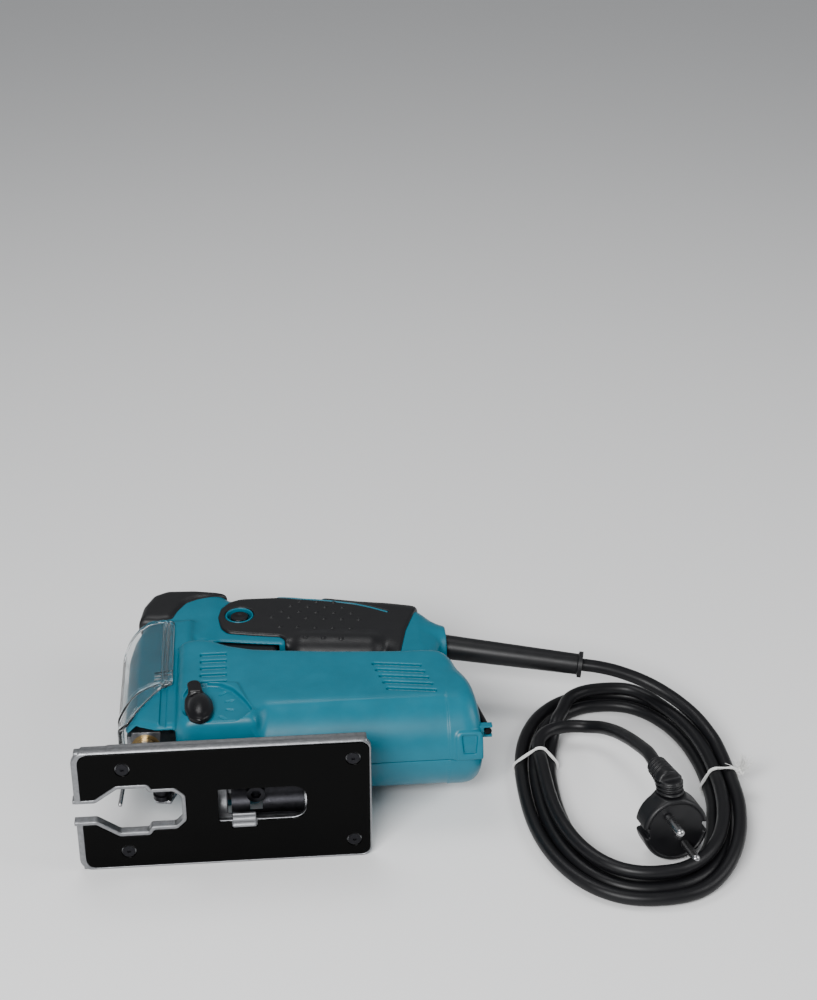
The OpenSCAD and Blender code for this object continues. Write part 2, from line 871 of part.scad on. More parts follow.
module clamp_plate() {
    color(dark) tool_frame() difference() {
        along_x(clamp_x[0], tilt_y) rotate([0, 0, 90 - 76]) rotate_extrude(angle = 152)
            translate([hump_in_r - 2.3, 0]) square([2, clamp_x[1] - clamp_x[0]]);
        along_x(bolt_x - bolt_r - 0.4, tilt_y) rotate([0, 0, 90 - 63])
            rotate_extrude(angle = 126) square([hump_r, 2 * bolt_r + 0.8]);
    }
}

module base_bolt() {
    color(dark) tool_frame() difference() {
        union() {
            rod_y(tilt_y + 4.6, tilt_y + 9.4, bolt_x, 5);
            rod_y(tilt_y + 9, 29, bolt_x, bolt_r - 0.02);
        }
        translate([bolt_x, tilt_y + 4, 0]) rotate([-90, 0, 0])
            cylinder(r = 2.9, h = 3.6, $fn = 6);
    }
}

module hex_key() {
    bend = key_out / 2;
    color(dark) tool_frame() key_frame() {
        rod_x(-key_reach, bend + 0.01, 0, key_r);
        rod_y(-key_leg, -bend + 0.01, key_out, key_r);
        translate([bend, -bend, 0]) rotate_extrude(angle = 90)
            translate([bend, 0]) circle(r = key_r);
    }
}

// ---------- cord ----------

function unit(v) = v / norm(v);
function tangent(path, i) = let (last = len(path) - 1)
    unit(path[min(i + 1, last)] - path[max(i - 1, 0)]);
function side_of(t) = unit(cross(t, abs(t[2]) < 0.9 ? [0, 0, 1] : [0, 1, 0]));
function ring(path, i, r, count) = let (t = tangent(path, i), a = side_of(t), b = cross(t, a))
    [for (k = [0 : count - 1]) let (w = 360 * k / count) path[i] + r * (cos(w) * a + sin(w) * b)];

// One closed tube swept along a path of points
module sweep(path, r, count) {
    rings = len(path);
    points = [for (i = [0 : rings - 1]) each ring(path, i, r, count)];
    sides = [for (i = [0 : rings - 2]) for (k = [0 : count - 1])
        let (n = (k + 1) % count) each [
            [i * count + k, i * count + n, (i + 1) * count + n],
            [i * count + k, (i + 1) * count + n, (i + 1) * count + k]]];
    first = [for (k = [1 : count - 2]) [0, k + 1, k]];
    base = (rings - 1) * count;
    last = [for (k = [1 : count - 2]) [base, base + k, base + k + 1]];
    polyhedron(concat(points), concat(sides, first, last));
}

// A cubic curve through the route's points, a few rings for each span
function curve_at(p, i, t) = let (last = len(p) - 1, a = p[max(i - 1, 0)], b = p[i],
    c = p[min(i + 1, last)], d = p[min(i + 2, last)])
    0.5 * (2 * b + (c - a) * t + (2 * a - 5 * b + 4 * c - d) * t * t
        + (3 * b - 3 * c + d - a) * t * t * t);
function smooth(p, per_span) = concat([for (i = [0 : len(p) - 2]) for (k = [0 : per_span - 1])
    curve_at(p, i, k / per_span)], [p[len(p) - 1]]);

function oval(half, count) = [for (i = [0 : count - 1]) let (a = 360 * i / count,
    c = cos(a), s = sin(a), e = 2 / coil_power)
    [coil_centre[0] + half[0] * sign(c) * pow(abs(c), e),
        coil_centre[1] + half[1] * sign(s) * pow(abs(s), e)]];

// A frame whose Z runs along the cord guard, from the handle outwards
module guard_frame() {
    run = guard_to - guard_from;
    turn = atan2(run[1], run[0]);
    drop = atan2(-run[2], norm([run[0], run[1]]));
    floor_frame() translate(guard_from) rotate([0, 90 + drop, turn]) children();
}

module guard_socket() {
    translate([frame_x, frame_y, -mid_z]) guard_frame() translate([0, 0, -8])
        cylinder(r = guard_r[0] + 0.1, h = 20);
}

module cord_guard() {
    long = norm(guard_to - guard_from);
    lip = guard_r[1] + 1.6;
    color(black) guard_frame() rotate_extrude()
        polygon([[0, -20], [cord_r, -20], [cord_r, -6], [guard_r[0], -6], [guard_r[0], 1],
            [guard_r[0] - 0.4, 4], [guard_r[1], long - 3], [lip, long - 2.4], [lip, long], [0, long]]);
}

module cord_lead() {
    color(black) floor_frame() sweep(smooth(lead_points, 2), cord_r, 10);
}

module cord_coil() {
    color(black) floor_frame() linear_extrude(coil_h) difference() {
        polygon(oval(coil_out, 60));
        polygon(oval(coil_in, 60));
    }
}

module cord_tail() {
    color(black) floor_frame() sweep(smooth(tail_points, 3), cord_r, 10);
}

module cord_tie(x, y) {
    difference() {
        block(x, y, [0, coil_h + tie_t + 0.1]);
        block([x[0] + tie_t, x[1] - tie_t], [y[0] - 1, y[1] + 1], [-1, coil_h + 0.1]);
    }
}

module cord_ties() {
    color(white) floor_frame() {
        cord_tie(tie_left[0], tie_left[1]);
        cord_tie(tie_right[0], tie_right[1]);
    }
}

module plug_frame() {
    floor_frame() translate(plug_centre) rotate([-plug_lean, 0, 8]) children();
}

module plug_body() {
    run = plug_boot - plug_neck;
    color(black) {
        plug_frame() {
            rotate([-90, 0, 0]) cylinder(r = plug_r, h = plug_t);
            rotate([90, 0, 0]) translate([0, 0, -0.1]) cylinder(r1 = plug_r, r2 = plug_r - 1, h = 4);
            translate([0, 6, 12]) rotate([-12, 0, 0]) cylinder(r = 7.2, h = 15);
        }
        floor_frame() translate(plug_neck)
            rotate([0, 90 - atan2(run[2], norm([run[0], run[1]])), atan2(run[1], run[0])])
                cylinder(r1 = 7, r2 = 5.4, h = norm(run));
    }
}

module plug_pins() {
    color(steel) plug_frame() for (s = [-1, 1]) translate([s * 4.5, -4, -s * 8.4]) {
        rotate([90, 0, 0]) cylinder(r = 2.4, h = 17);
        translate([0, -17, 0]) sphere(r = 2.4);
    }
}

housing_left();
housing_right();
grip_left();
grip_right();
front_pad();
housing_screws();
gear_case();
slider_bushes();
gear_axle();
front_bearing();
rear_bearing();
fan_baffle();
field_core();
field_coils();
brush_holders();
carbon_brushes();
brush_springs();
switch_body();
suppressor();
cord_clamp();
guard_wire();
base_bolt();
arm_pivot_pin();
armature_shaft();
armature_core();
armature_windings();
commutator();
cooling_fan();
crank_gear();
crank_pin();
crank_roller();
slider_rod();
slider_yoke();
blade_clamp();
clamp_screw();
roller_arm();
roller_pin();
guide_roller();
selector_lever();
switch_trigger();
lock_button();
dust_cover();
clamp_plate();
base_plate();
sole_cover();
sole_clip();
sole_screws();
hex_key();
cord_guard();
cord_lead();
cord_coil();
cord_tail();
cord_ties();
plug_body();
plug_pins();
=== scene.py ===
"""Looks for the corded jigsaw that lies on its side with its tied cord behind it.

Lengths in this script are millimetres in the tool's own frame: x from the front edge of
the sole towards the motor cap, y from the sole up to the handle, z across the tool from
its middle to its left side. place() turns such a point into the row frame, in metres.
"""

import json
import math
import random

import bpy
import numpy as np
import openvdb
from mathutils import Matrix, Vector


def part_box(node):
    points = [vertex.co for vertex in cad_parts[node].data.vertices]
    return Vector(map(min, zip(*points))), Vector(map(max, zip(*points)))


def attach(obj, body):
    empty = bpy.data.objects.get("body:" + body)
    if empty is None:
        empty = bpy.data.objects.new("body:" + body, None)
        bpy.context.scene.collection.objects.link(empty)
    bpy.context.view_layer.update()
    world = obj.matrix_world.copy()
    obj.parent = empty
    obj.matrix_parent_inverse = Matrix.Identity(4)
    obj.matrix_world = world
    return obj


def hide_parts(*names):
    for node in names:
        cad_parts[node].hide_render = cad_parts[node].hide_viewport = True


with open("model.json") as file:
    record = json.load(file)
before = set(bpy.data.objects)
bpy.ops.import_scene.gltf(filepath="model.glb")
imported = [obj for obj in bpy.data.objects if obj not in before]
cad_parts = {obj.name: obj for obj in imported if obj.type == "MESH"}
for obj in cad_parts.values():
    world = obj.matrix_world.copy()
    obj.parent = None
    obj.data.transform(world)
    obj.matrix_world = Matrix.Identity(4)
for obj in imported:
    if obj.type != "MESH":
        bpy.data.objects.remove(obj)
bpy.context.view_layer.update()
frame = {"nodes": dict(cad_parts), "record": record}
MM = 0.001

# ---------- places, read from the frame ----------

sole_low, sole_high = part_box("base_plate")
floor_z = sole_low.z
half_width = (sole_high.z - sole_low.z) / 2 / MM


def place(x, y, z):
    """A point of the tool's frame in the row frame."""
    return Vector((sole_low.x + x * MM, sole_low.y + y * MM, floor_z + (z + half_width) * MM))


def on_floor(x, y, height):
    """A point given by its height above the floor, as the cord's are."""
    return place(x, y, height - half_width)


def rotation_from(right, up):
    """The rotation of a camera with these two axes."""
    right = Vector(right).normalized()
    up = Vector(up).normalized()
    back = right.cross(up)
    return Matrix((right, up, back)).transposed()


# ---------- camera ----------

CAMERA_LENS = 68.76
CAMERA_AT = (107.2, -825.5, 670.2)
CAMERA_RIGHT = (0.99635, -0.08537, 0)
CAMERA_UP = (0.0407, 0.4754, 0.8788)

camera_data = bpy.data.cameras.new("camera")
camera_data.lens = CAMERA_LENS
camera = bpy.data.objects.new("camera", camera_data)
bpy.context.collection.objects.link(camera)
camera.location = on_floor(*CAMERA_AT)
camera.rotation_euler = rotation_from(CAMERA_RIGHT, CAMERA_UP).to_euler()
bpy.context.scene.camera = camera

# ---------- cord ----------

CORD_D = 7.6
COIL_CENTRE = (307.5, 41)
COIL_HALF = (59.7, 95.2)
COIL_POWER = 2.3
FLOOR_LAYER = 3.9

# From the guard's end down to the coil's right side
LEAD = [(294, 127.4, 33), (303, 125.3, 32.4), (312, 123.1, 31), (321, 120.4, 28.8),
        (330, 116.8, 26.2), (338.8, 111, 23.6), (347.3, 102.5, 21), (355.2, 91, 18.4),
        (361, 77.5, 15.6), (364.4, 62, 13.2)]
# From the coil's left side up to the plug's neck
TAIL = [(260, 62, 12), (260.2, 74, 12.1), (263.1, 84, 12.3), (271, 91.4, 12.3), (282, 94, 12),
        (292, 91.4, 13), (299.5, 84, 17), (305, 71, 23), (309, 56, 29), (312, 41, 34.5),
        (314.2, 26.5, 39.5), (315.3, 13, 42)]
# How the turns lie: degrees clockwise from the right side, inset from the coil's outermost
# line and height. Three strands lie on the floor and the fourth on top of them.
TURNS = [(0, 1.4, 11.6), (25, 1.0, 10.5), (75, 0.3, 4.1), (105, 0.2, FLOOR_LAYER),
         (180, 0.2, FLOOR_LAYER), (225, 0, FLOOR_LAYER), (270, -0.4, FLOOR_LAYER),
         (315, 2, FLOOR_LAYER), (360, 5.2, FLOOR_LAYER), (385, 7.6, FLOOR_LAYER),
         (435, 8.2, FLOOR_LAYER), (540, 8.3, FLOOR_LAYER), (585, 8.6, FLOOR_LAYER),
         (610, 10.5, FLOOR_LAYER), (630, 11, FLOOR_LAYER), (675, 13.2, FLOOR_LAYER),
         (720, 13.4, FLOOR_LAYER), (745, 15.6, FLOOR_LAYER), (795, 16.1, FLOOR_LAYER),
         (900, 16.4, FLOOR_LAYER), (926, 16.8, FLOOR_LAYER), (948, 15.5, 12.4), (978, 6.5, 12.6),
         (1000, 5, 12.4), (1035, 10.6, 12.4), (1080, 9.8, 12), (1155, 12.2, 11.7),
         (1185, 12.3, 11.7), (1262, 12.2, 12)]
FIRST_TURN_ANGLE = 8
TURN_STEP = 12
POINTS_PER_SPAN = 8


def coil_point(angle, inset, height):
    """A point on the coil's oval, moved inwards by inset."""
    turn = math.radians(-angle)
    c = math.cos(turn)
    s = math.sin(turn)
    power = 2 / COIL_POWER
    x = COIL_CENTRE[0] + (COIL_HALF[0] - inset) * math.copysign(abs(c) ** power, c)
    y = COIL_CENTRE[1] + (COIL_HALF[1] - inset) * math.copysign(abs(s) ** power, s)
    return (x, y, height)


def turn_at(angle):
    """The strand's place at one angle, eased between the two listed on either side of it."""
    for before, after in zip(TURNS, TURNS[1:]):
        if angle <= after[0]:
            break
    share = (angle - before[0]) / (after[0] - before[0])
    share = share * share * (3 - 2 * share)
    inset = before[1] + (after[1] - before[1]) * share
    height = before[2] + (after[2] - before[2]) * share
    return coil_point(angle, inset, height)


def smooth_path(points, per_span):
    """A Catmull-Rom curve through the points."""
    points = [Vector(p) for p in points]
    last = len(points) - 1
    path = []
    for i in range(last):
        a = points[max(i - 1, 0)]
        b = points[i]
        c = points[i + 1]
        d = points[min(i + 2, last)]
        for k in range(per_span):
            t = k / per_span
            path.append(0.5 * (2 * b + (c - a) * t + (2 * a - 5 * b + 4 * c - d) * t ** 2
                               + (3 * b - 3 * c + d - a) * t ** 3))
    path.append(points[last])
    return path


def tube(name, lines, radius, cyclic=False, resolution=8):
    """A mesh of round tubes that follow the given lines of row-frame points."""
    data = bpy.data.curves.new(name, "CURVE")
    data.dimensions = "3D"
    data.bevel_depth = radius * MM
    data.bevel_resolution = resolution
    data.use_fill_caps = True
    for line in lines:
        spline = data.splines.new("POLY")
        spline.points.add(len(line) - 1)
        spline.use_cyclic_u = cyclic
        spline.use_smooth = True
        for point, place_of in zip(spline.points, line):
            point.co = (*place_of, 1)
    curve = bpy.data.objects.new(name + "_line", data)
    bpy.context.collection.objects.link(curve)
    bpy.context.view_layer.update()
    seen = curve.evaluated_get(bpy.context.evaluated_depsgraph_get())
    mesh = bpy.data.meshes.new_from_object(seen)
    mesh.polygons.foreach_set("use_smooth", [True] * len(mesh.polygons))
    bpy.data.objects.remove(curve)
    piece = bpy.data.objects.new(name, mesh)
    bpy.context.collection.objects.link(piece)
    return piece


turn_points = [turn_at(angle) for angle in range(FIRST_TURN_ANGLE, TURNS[-1][0], TURN_STEP)]
cord_path = smooth_path(LEAD + turn_points + TAIL, POINTS_PER_SPAN)
cord = tube("mains_cord", [[on_floor(*p) for p in cord_path]], CORD_D / 2)
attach(cord, "housing")
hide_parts("cord_lead", "cord_coil", "cord_tail")


# ---------- materials ----------

def new_material(name, colour, rough, metallic=0.0):
    """A principled material and the nodes that build its detail."""
    material = bpy.data.materials.new(name)
    material.use_nodes = True
    shader = material.node_tree.nodes["Principled BSDF"]
    shader.inputs["Base Color"].default_value = (*colour, 1)
    shader.inputs["Roughness"].default_value = rough
    shader.inputs["Metallic"].default_value = metallic
    return material, material.node_tree, shader


def object_coordinates(tree, stretch=(1, 1, 1)):
    """The object's own coordinates, in metres, stretched along its axes."""
    where = tree.nodes.new("ShaderNodeTexCoord")
    mapping = tree.nodes.new("ShaderNodeMapping")
    mapping.inputs["Scale"].default_value = stretch
    tree.links.new(where.outputs["Object"], mapping.inputs["Vector"])
    return mapping.outputs["Vector"]


def noise(tree, vector, size, detail=3.0, rough=0.55):
    """A noise whose features are about size millimetres across."""
    node = tree.nodes.new("ShaderNodeTexNoise")
    node.inputs["Scale"].default_value = 1 / (size * MM)
    node.inputs["Detail"].default_value = detail
    node.inputs["Roughness"].default_value = rough
    tree.links.new(vector, node.inputs["Vector"])
    return node.outputs["Fac"]


def spread(tree, value, low, high):
    """The value's middle range mapped to low..high."""
    node = tree.nodes.new("ShaderNodeMapRange")
    node.inputs["From Min"].default_value = 0.3
    node.inputs["From Max"].default_value = 0.7
    node.inputs["To Min"].default_value = low
    node.inputs["To Max"].default_value = high
    tree.links.new(value, node.inputs["Value"])
    return node.outputs["Result"]


def two_colours(tree, value, dark, light):
    """A colour between dark and light, picked by value."""
    node = tree.nodes.new("ShaderNodeMix")
    node.data_type = "RGBA"
    node.inputs["A"].default_value = (*dark, 1)
    node.inputs["B"].default_value = (*light, 1)
    tree.links.new(value, node.inputs["Factor"])
    return node.outputs["Result"]


def bump(tree, shader, height, depth, edge=0.0, shine=0.5):
    """Surface relief of depth millimetres, over edges rounded by edge millimetres."""
    shader.inputs["Specular IOR Level"].default_value = shine
    node = tree.nodes.new("ShaderNodeBump")
    node.inputs["Strength"].default_value = 1.0
    node.inputs["Distance"].default_value = depth * MM
    tree.links.new(height, node.inputs["Height"])
    if edge > 0:
        round_edge = tree.nodes.new("ShaderNodeBevel")
        round_edge.samples = 4
        round_edge.inputs["Radius"].default_value = edge * MM
        tree.links.new(round_edge.outputs["Normal"], node.inputs["Normal"])
    tree.links.new(node.outputs["Normal"], shader.inputs["Normal"])


def scaled(colour, factor):
    """A colour made darker or lighter."""
    return tuple(min(1.0, c * factor) for c in colour)


def moulded(name, colour, rough, grain, depth, edge=0.0, coat=0.0, shine=0.5):
    """Moulded plastic or rubber: fine grain, faint tone changes and uneven gloss."""
    material, tree, shader = new_material(name, colour, rough)
    vector = object_coordinates(tree)
    tone = spread(tree, noise(tree, vector, 18, 4), 0, 1)
    tree.links.new(two_colours(tree, tone, scaled(colour, 0.92), scaled(colour, 1.08)),
                   shader.inputs["Base Color"])
    gloss = spread(tree, noise(tree, vector, 7, 5), rough * 0.88, rough * 1.14)
    tree.links.new(gloss, shader.inputs["Roughness"])
    bump(tree, shader, noise(tree, vector, grain, 2), depth, edge, shine)
    shader.inputs["Coat Weight"].default_value = coat
    shader.inputs["Coat Roughness"].default_value = 0.12
    return material


def metal(name, colour, rough, grain, depth, stretch=(1, 1, 1), edge=0.25):
    """Cast, ground or drawn metal: directional grain and duller patches."""
    material, tree, shader = new_material(name, colour, rough, 1.0)
    vector = object_coordinates(tree, stretch)
    tone = spread(tree, noise(tree, vector, grain * 4, 4), 0, 1)
    tree.links.new(two_colours(tree, tone, scaled(colour, 0.82), scaled(colour, 1.1)),
                   shader.inputs["Base Color"])
    gloss = spread(tree, noise(tree, vector, grain * 7, 4), rough * 0.8, rough * 1.25)
    tree.links.new(gloss, shader.inputs["Roughness"])
    bump(tree, shader, noise(tree, vector, grain, 3), depth, edge)
    return material


def wound_wire():
    """Enamelled winding wire: fine parallel turns round the motor's axis, with painted shade darkening
    the grooves between them.
    """
    material, tree, shader = new_material("winding_wire", (0.55, 0.2, 0.07), 0.28, 0.9)
    turns = tree.nodes.new("ShaderNodeTexWave")
    turns.bands_direction = "Y"
    turns.inputs["Scale"].default_value = 1 / (1.6 * MM)
    turns.inputs["Distortion"].default_value = 1.5
    tree.links.new(object_coordinates(tree), turns.inputs["Vector"])
    # Painted shade: the same waves that raise the turns darken the colour in the grooves between them.
    tree.links.new(two_colours(tree, turns.outputs["Fac"], (0.25, 0.08, 0.03), (0.65, 0.25, 0.1)),
                   shader.inputs["Base Color"])
    bump(tree, shader, turns.outputs["Fac"], 0.2)
    return material


def clear_plastic():
    """Clear polycarbonate with faint moulding haze."""
    material, tree, shader = new_material("clear_plastic", (0.93, 0.97, 0.98), 0.04)
    shader.inputs["Transmission Weight"].default_value = 1.0
    shader.inputs["IOR"].default_value = 1.45
    vector = object_coordinates(tree)
    gloss = spread(tree, noise(tree, vector, 6, 4), 0.03, 0.09)
    tree.links.new(gloss, shader.inputs["Roughness"])
    bump(tree, shader, noise(tree, vector, 9, 2), 0.03)
    return material


def string_material():
    """White twisted cotton."""
    colour = (0.82, 0.82, 0.8)
    material, tree, shader = new_material("cotton_string", colour, 0.9)
    vector = object_coordinates(tree)
    fibres = noise(tree, vector, 0.35, 4, 0.7)
    tree.links.new(two_colours(tree, spread(tree, fibres, 0, 1), (0.62, 0.62, 0.6), (0.9, 0.9, 0.88)),
                   shader.inputs["Base Color"])
    bump(tree, shader, fibres, 0.15)
    shader.inputs["Sheen Weight"].default_value = 0.3
    return material


TEAL = (0.0, 0.125, 0.185)
finishes = {
    "teal_plastic": moulded("teal_plastic", TEAL, 0.38, 0.35, 0.018, edge=0.3, shine=0.35),
    "black_rubber": moulded("black_rubber", (0.005, 0.005, 0.006), 0.42, 0.45, 0.03, shine=0.36),
    "black_plastic": moulded("black_plastic", (0.004, 0.004, 0.005), 0.3, 0.4, 0.02, 0.3,
                             shine=0.3),
    "clear_plastic": clear_plastic(),
    "cast_alloy": metal("cast_alloy", (0.25, 0.255, 0.265), 0.4, 0.5, 0.06),
    "steel": metal("steel", (0.42, 0.42, 0.43), 0.24, 0.25, 0.012, (1, 6, 1)),
    "black_steel": metal("black_steel", (0.022, 0.022, 0.025), 0.34, 0.3, 0.015),
    "copper_wire": wound_wire(),
    "bronze": metal("bronze", (0.6, 0.42, 0.18), 0.32, 0.4, 0.02),
    "carbon": moulded("carbon", (0.03, 0.03, 0.03), 0.55, 0.3, 0.03, edge=0.2),
    "fan_plastic": moulded("fan_plastic", (0.7, 0.7, 0.66), 0.45, 0.4, 0.02, edge=0.2),
    "cord_rubber": moulded("cord_rubber", (0.005, 0.005, 0.006), 0.4, 0.5, 0.03, shine=0.25),
    "cotton_string": string_material(),
}
cover_black = moulded("sole_cover_black", (0.001, 0.001, 0.001), 0.18, 1.2, 0.006, shine=0.05)
cord.data.materials.append(finishes["cord_rubber"])


# ---------- shapes as distance fields ----------

def smooth_max(a, b, reach):
    """The larger of two distances, with the edge between them rounded."""
    gap = np.maximum(reach - np.abs(a - b), 0)
    return np.maximum(a, b) + gap * gap / (4 * reach)


def smooth_min(a, b, reach):
    """The smaller of two distances, with the corner between them filled."""
    gap = np.maximum(reach - np.abs(a - b), 0)
    return np.minimum(a, b) - gap * gap / (4 * reach)


def edge_square(wx, wy, ex, ey):
    """Squared distance to an edge, from the offsets to its start and the edge's own run."""
    along = np.clip((wx * ex + wy * ey) / (ex * ex + ey * ey), 0, 1)
    return (wx - ex * along) ** 2 + (wy - ey * along) ** 2


def line_distance(px, py, points):
    """Distance to an open line of points."""
    nearest = np.float32(1e9)
    for (ax, ay), (bx, by) in zip(points, points[1:]):
        nearest = np.minimum(nearest, edge_square(px - ax, py - ay, bx - ax, by - ay))
    return np.sqrt(nearest)


def polygon_distance(px, py, points):
    """Signed distance to a closed outline, negative inside."""
    shape = np.broadcast(px, py).shape
    nearest = np.full(shape, 1e9, np.float32)
    inside = np.zeros(shape, bool)
    for (ax, ay), (bx, by) in zip(points, points[1:] + points[:1]):
        ex = bx - ax
        ey = by - ay
        wx = px - ax
        wy = py - ay
        nearest = np.minimum(nearest, edge_square(wx, wy, ex, ey))
        if ey != 0:
            inside ^= ((ay <= py) != (by <= py)) & (wx < wy * ex / ey)
    return np.where(inside, -1, 1).astype(np.float32) * np.sqrt(nearest)


def blurred(values, axis, width):
    """A running mean of width samples along one axis, three times over."""
    for _ in range(3):
        padded = np.concatenate([np.repeat(values.take([0], axis), width, axis), values,
                                 np.repeat(values.take([-1], axis), width, axis)], axis)
        total = np.cumsum(padded, axis, dtype=np.float64)
        count = values.shape[axis]
        reach = width // 2
        high = total.take(np.arange(width + reach, width + reach + count), axis)
        low = total.take(np.arange(width - reach - 1, width - reach - 1 + count), axis)
        values = ((high - low) / (2 * reach + 1)).astype(np.float32)
    return values


class Field:
    """A block of sample points, in millimetres of the tool's frame."""

    def __init__(self, low, high, step):
        self.low = low
        self.step = step
        axes = [np.arange(a, b + step, step, dtype=np.float32) for a, b in zip(low, high)]
        self.x = axes[0][:, None, None]
        self.y = axes[1][None, :, None]
        self.z = axes[2][None, None, :]

    def soften(self, values, axes, radius):
        """The values blurred along the axes, which rounds an outline's corners."""
        width = int(radius / self.step) | 1
        if radius <= 0 or width < 3:
            return values
        for axis in axes:
            values = blurred(values, axis, width)
        return values

    def side(self, points, radius=0):
        """Outline of x against y, with its corners rounded."""
        return self.soften(polygon_distance(self.x, self.y, points), (0, 1), radius)

    def plan(self, half_points, radius=0):
        """Outline of x against z, mirrored about the middle."""
        mirrored = [(x, -z) for x, z in reversed(half_points)]
        flat = polygon_distance(self.x, self.z, half_points + mirrored)
        return self.soften(flat, (0, 2), radius)

    def box(self, x, y, z):
        """Distance to an upright box given by its three ranges."""
        parts = []
        for axis, span in ((self.x, x), (self.y, y), (self.z, z)):
            parts.append(np.abs(axis - (span[0] + span[1]) / 2) - (span[1] - span[0]) / 2)
        return np.maximum(np.maximum(parts[0], parts[1]), parts[2])

    def rod_x(self, x, y, z, radius):
        """Distance to a rod along x, given its range and its centre."""
        round_part = np.sqrt((self.y - y) ** 2 + (self.z - z) ** 2) - radius
        return np.maximum(round_part, np.abs(self.x - sum(x) / 2) - (x[1] - x[0]) / 2)

    def rod_y(self, at, y, radius):
        """Distance to a rod along y, centred on x and z."""
        round_part = np.sqrt((self.x - at[0]) ** 2 + (self.z - at[1]) ** 2) - radius
        return np.maximum(round_part, np.abs(self.y - sum(y) / 2) - (y[1] - y[0]) / 2)

    def rod_z(self, at, z, radius):
        """Distance to a rod along z, centred on x and y."""
        round_part = np.sqrt((self.x - at[0]) ** 2 + (self.y - at[1]) ** 2) - radius
        return np.maximum(round_part, np.abs(self.z - sum(z) / 2) - (z[1] - z[0]) / 2)

    def egg(self, at, radii):
        """Roughly the distance to an ellipsoid."""
        x = (self.x - at[0]) / radii[0]
        y = (self.y - at[1]) / radii[1]
        z = (self.z - at[2]) / radii[2]
        return (np.sqrt(x * x + y * y + z * z) - 1) * min(radii)


def skin(name, field, values, finish, body, nodes):
    """A smooth mesh of the field's zero surface, which rides on body in place of the nodes."""
    band = 3 * field.step
    grid = openvdb.FloatGrid(band)
    grid.copyFromArray(np.clip(values, -band, band).astype(np.float32))
    points, triangles, quads = grid.convertToPolygons(isovalue=0.0, adaptivity=0.0)
    spots = np.array(field.low) + points * field.step
    origin = place(0, 0, 0)
    spots = spots * MM + np.array(origin)
    counts = np.concatenate([np.full(len(triangles), 3), np.full(len(quads), 4)])
    corners = np.concatenate([np.asarray(triangles)[:, ::-1].ravel(),
                              np.asarray(quads)[:, ::-1].ravel()])
    mesh = bpy.data.meshes.new(name)
    mesh.vertices.add(len(spots))
    mesh.vertices.foreach_set("co", spots.astype(np.float32).ravel())
    mesh.loops.add(len(corners))
    mesh.loops.foreach_set("vertex_index", corners.astype(np.int32))
    mesh.polygons.add(len(counts))
    starts = np.concatenate([[0], np.cumsum(counts)[:-1]])
    mesh.polygons.foreach_set("loop_start", starts.astype(np.int32))
    mesh.polygons.foreach_set("loop_total", counts.astype(np.int32))
    mesh.update(calc_edges=True)
    mesh.validate()
    mesh.polygons.foreach_set("use_smooth", np.ones(len(counts), bool))
    if signed_volume(spots, corners[:3 * len(triangles)], corners[3 * len(triangles):]) < 0:
        mesh.flip_normals()
    piece = bpy.data.objects.new(name, mesh)
    bpy.context.collection.objects.link(piece)
    mesh.materials.append(finishes[finish])
    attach(piece, body)
    if nodes:
        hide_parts(*nodes)
    return piece


def signed_volume(spots, triangle_corners, quad_corners):
    """Positive when the faces wind outwards."""
    total = 0.0
    centre = spots.mean(0)
    for corners, size in ((triangle_corners, 3), (quad_corners, 4)):
        if len(corners):
            p = spots[corners.reshape(-1, size)] - centre
            total += np.einsum("ij,ij->i", p[:, 0], np.cross(p[:, 1], p[:, 2])).sum()
            if size == 4:
                total += np.einsum("ij,ij->i", p[:, 0], np.cross(p[:, 2], p[:, 3])).sum()
    return total


# ---------- housing ----------

MOTOR_Y = 62
BARREL_R = 31
CAP_END = 220
CAP_LEAN = 0.14
BODY_HALF = 31.5
HANDLE_HALF = 16.3
WALL = 3
SLIDER_X = 35.5
SLIDER_WAY_R = 5.9
LOCK_AT = (89, 164.5)
SELECTOR_AT = (66.4, 53)
SCREW_BOSS_R = 5.2
SCREW_HEAD_R = 4.1
SCREW_SHANK_R = 1.95
GUARD_Y = 146.8
GUARD_WAY_R = 8.3
KEY_Z = 12
PANEL_DEPTH = 1.1
SLOT_DEPTH = 2.3
VENT_COUNT = 5
# Middle of the lowest vent, in front and behind, and the step from each vent to the next
FRONT_VENT_Y = 74.3
FRONT_VENT_STEP = 7.05
REAR_VENT_AT = (184.6, 57.6)
REAR_VENT_STEP = (-1.6, 6.4)
REAR_VENT_LEAN = -9
SELECTOR_MARKS = (-42, -14, 14, 42)
# Where the key's short arm lies, and how far it leans
KEY_AT = (209.5, 87)
KEY_LEAN = 11
# The rubber's thickness, and the least distance of its seam from the middle of the handle
RUBBER_T = 1.6
SEAM_Z = 4
# Further to the side than any surface of the tool, and further back
FAR = 60
PAST_CAP = 400
HANDLE_SCREWS = [(62, 134), (63, 170), (196, 124)]
BODY_SCREWS = [(130, 96.3), (171, 95.7), (200, 94)]

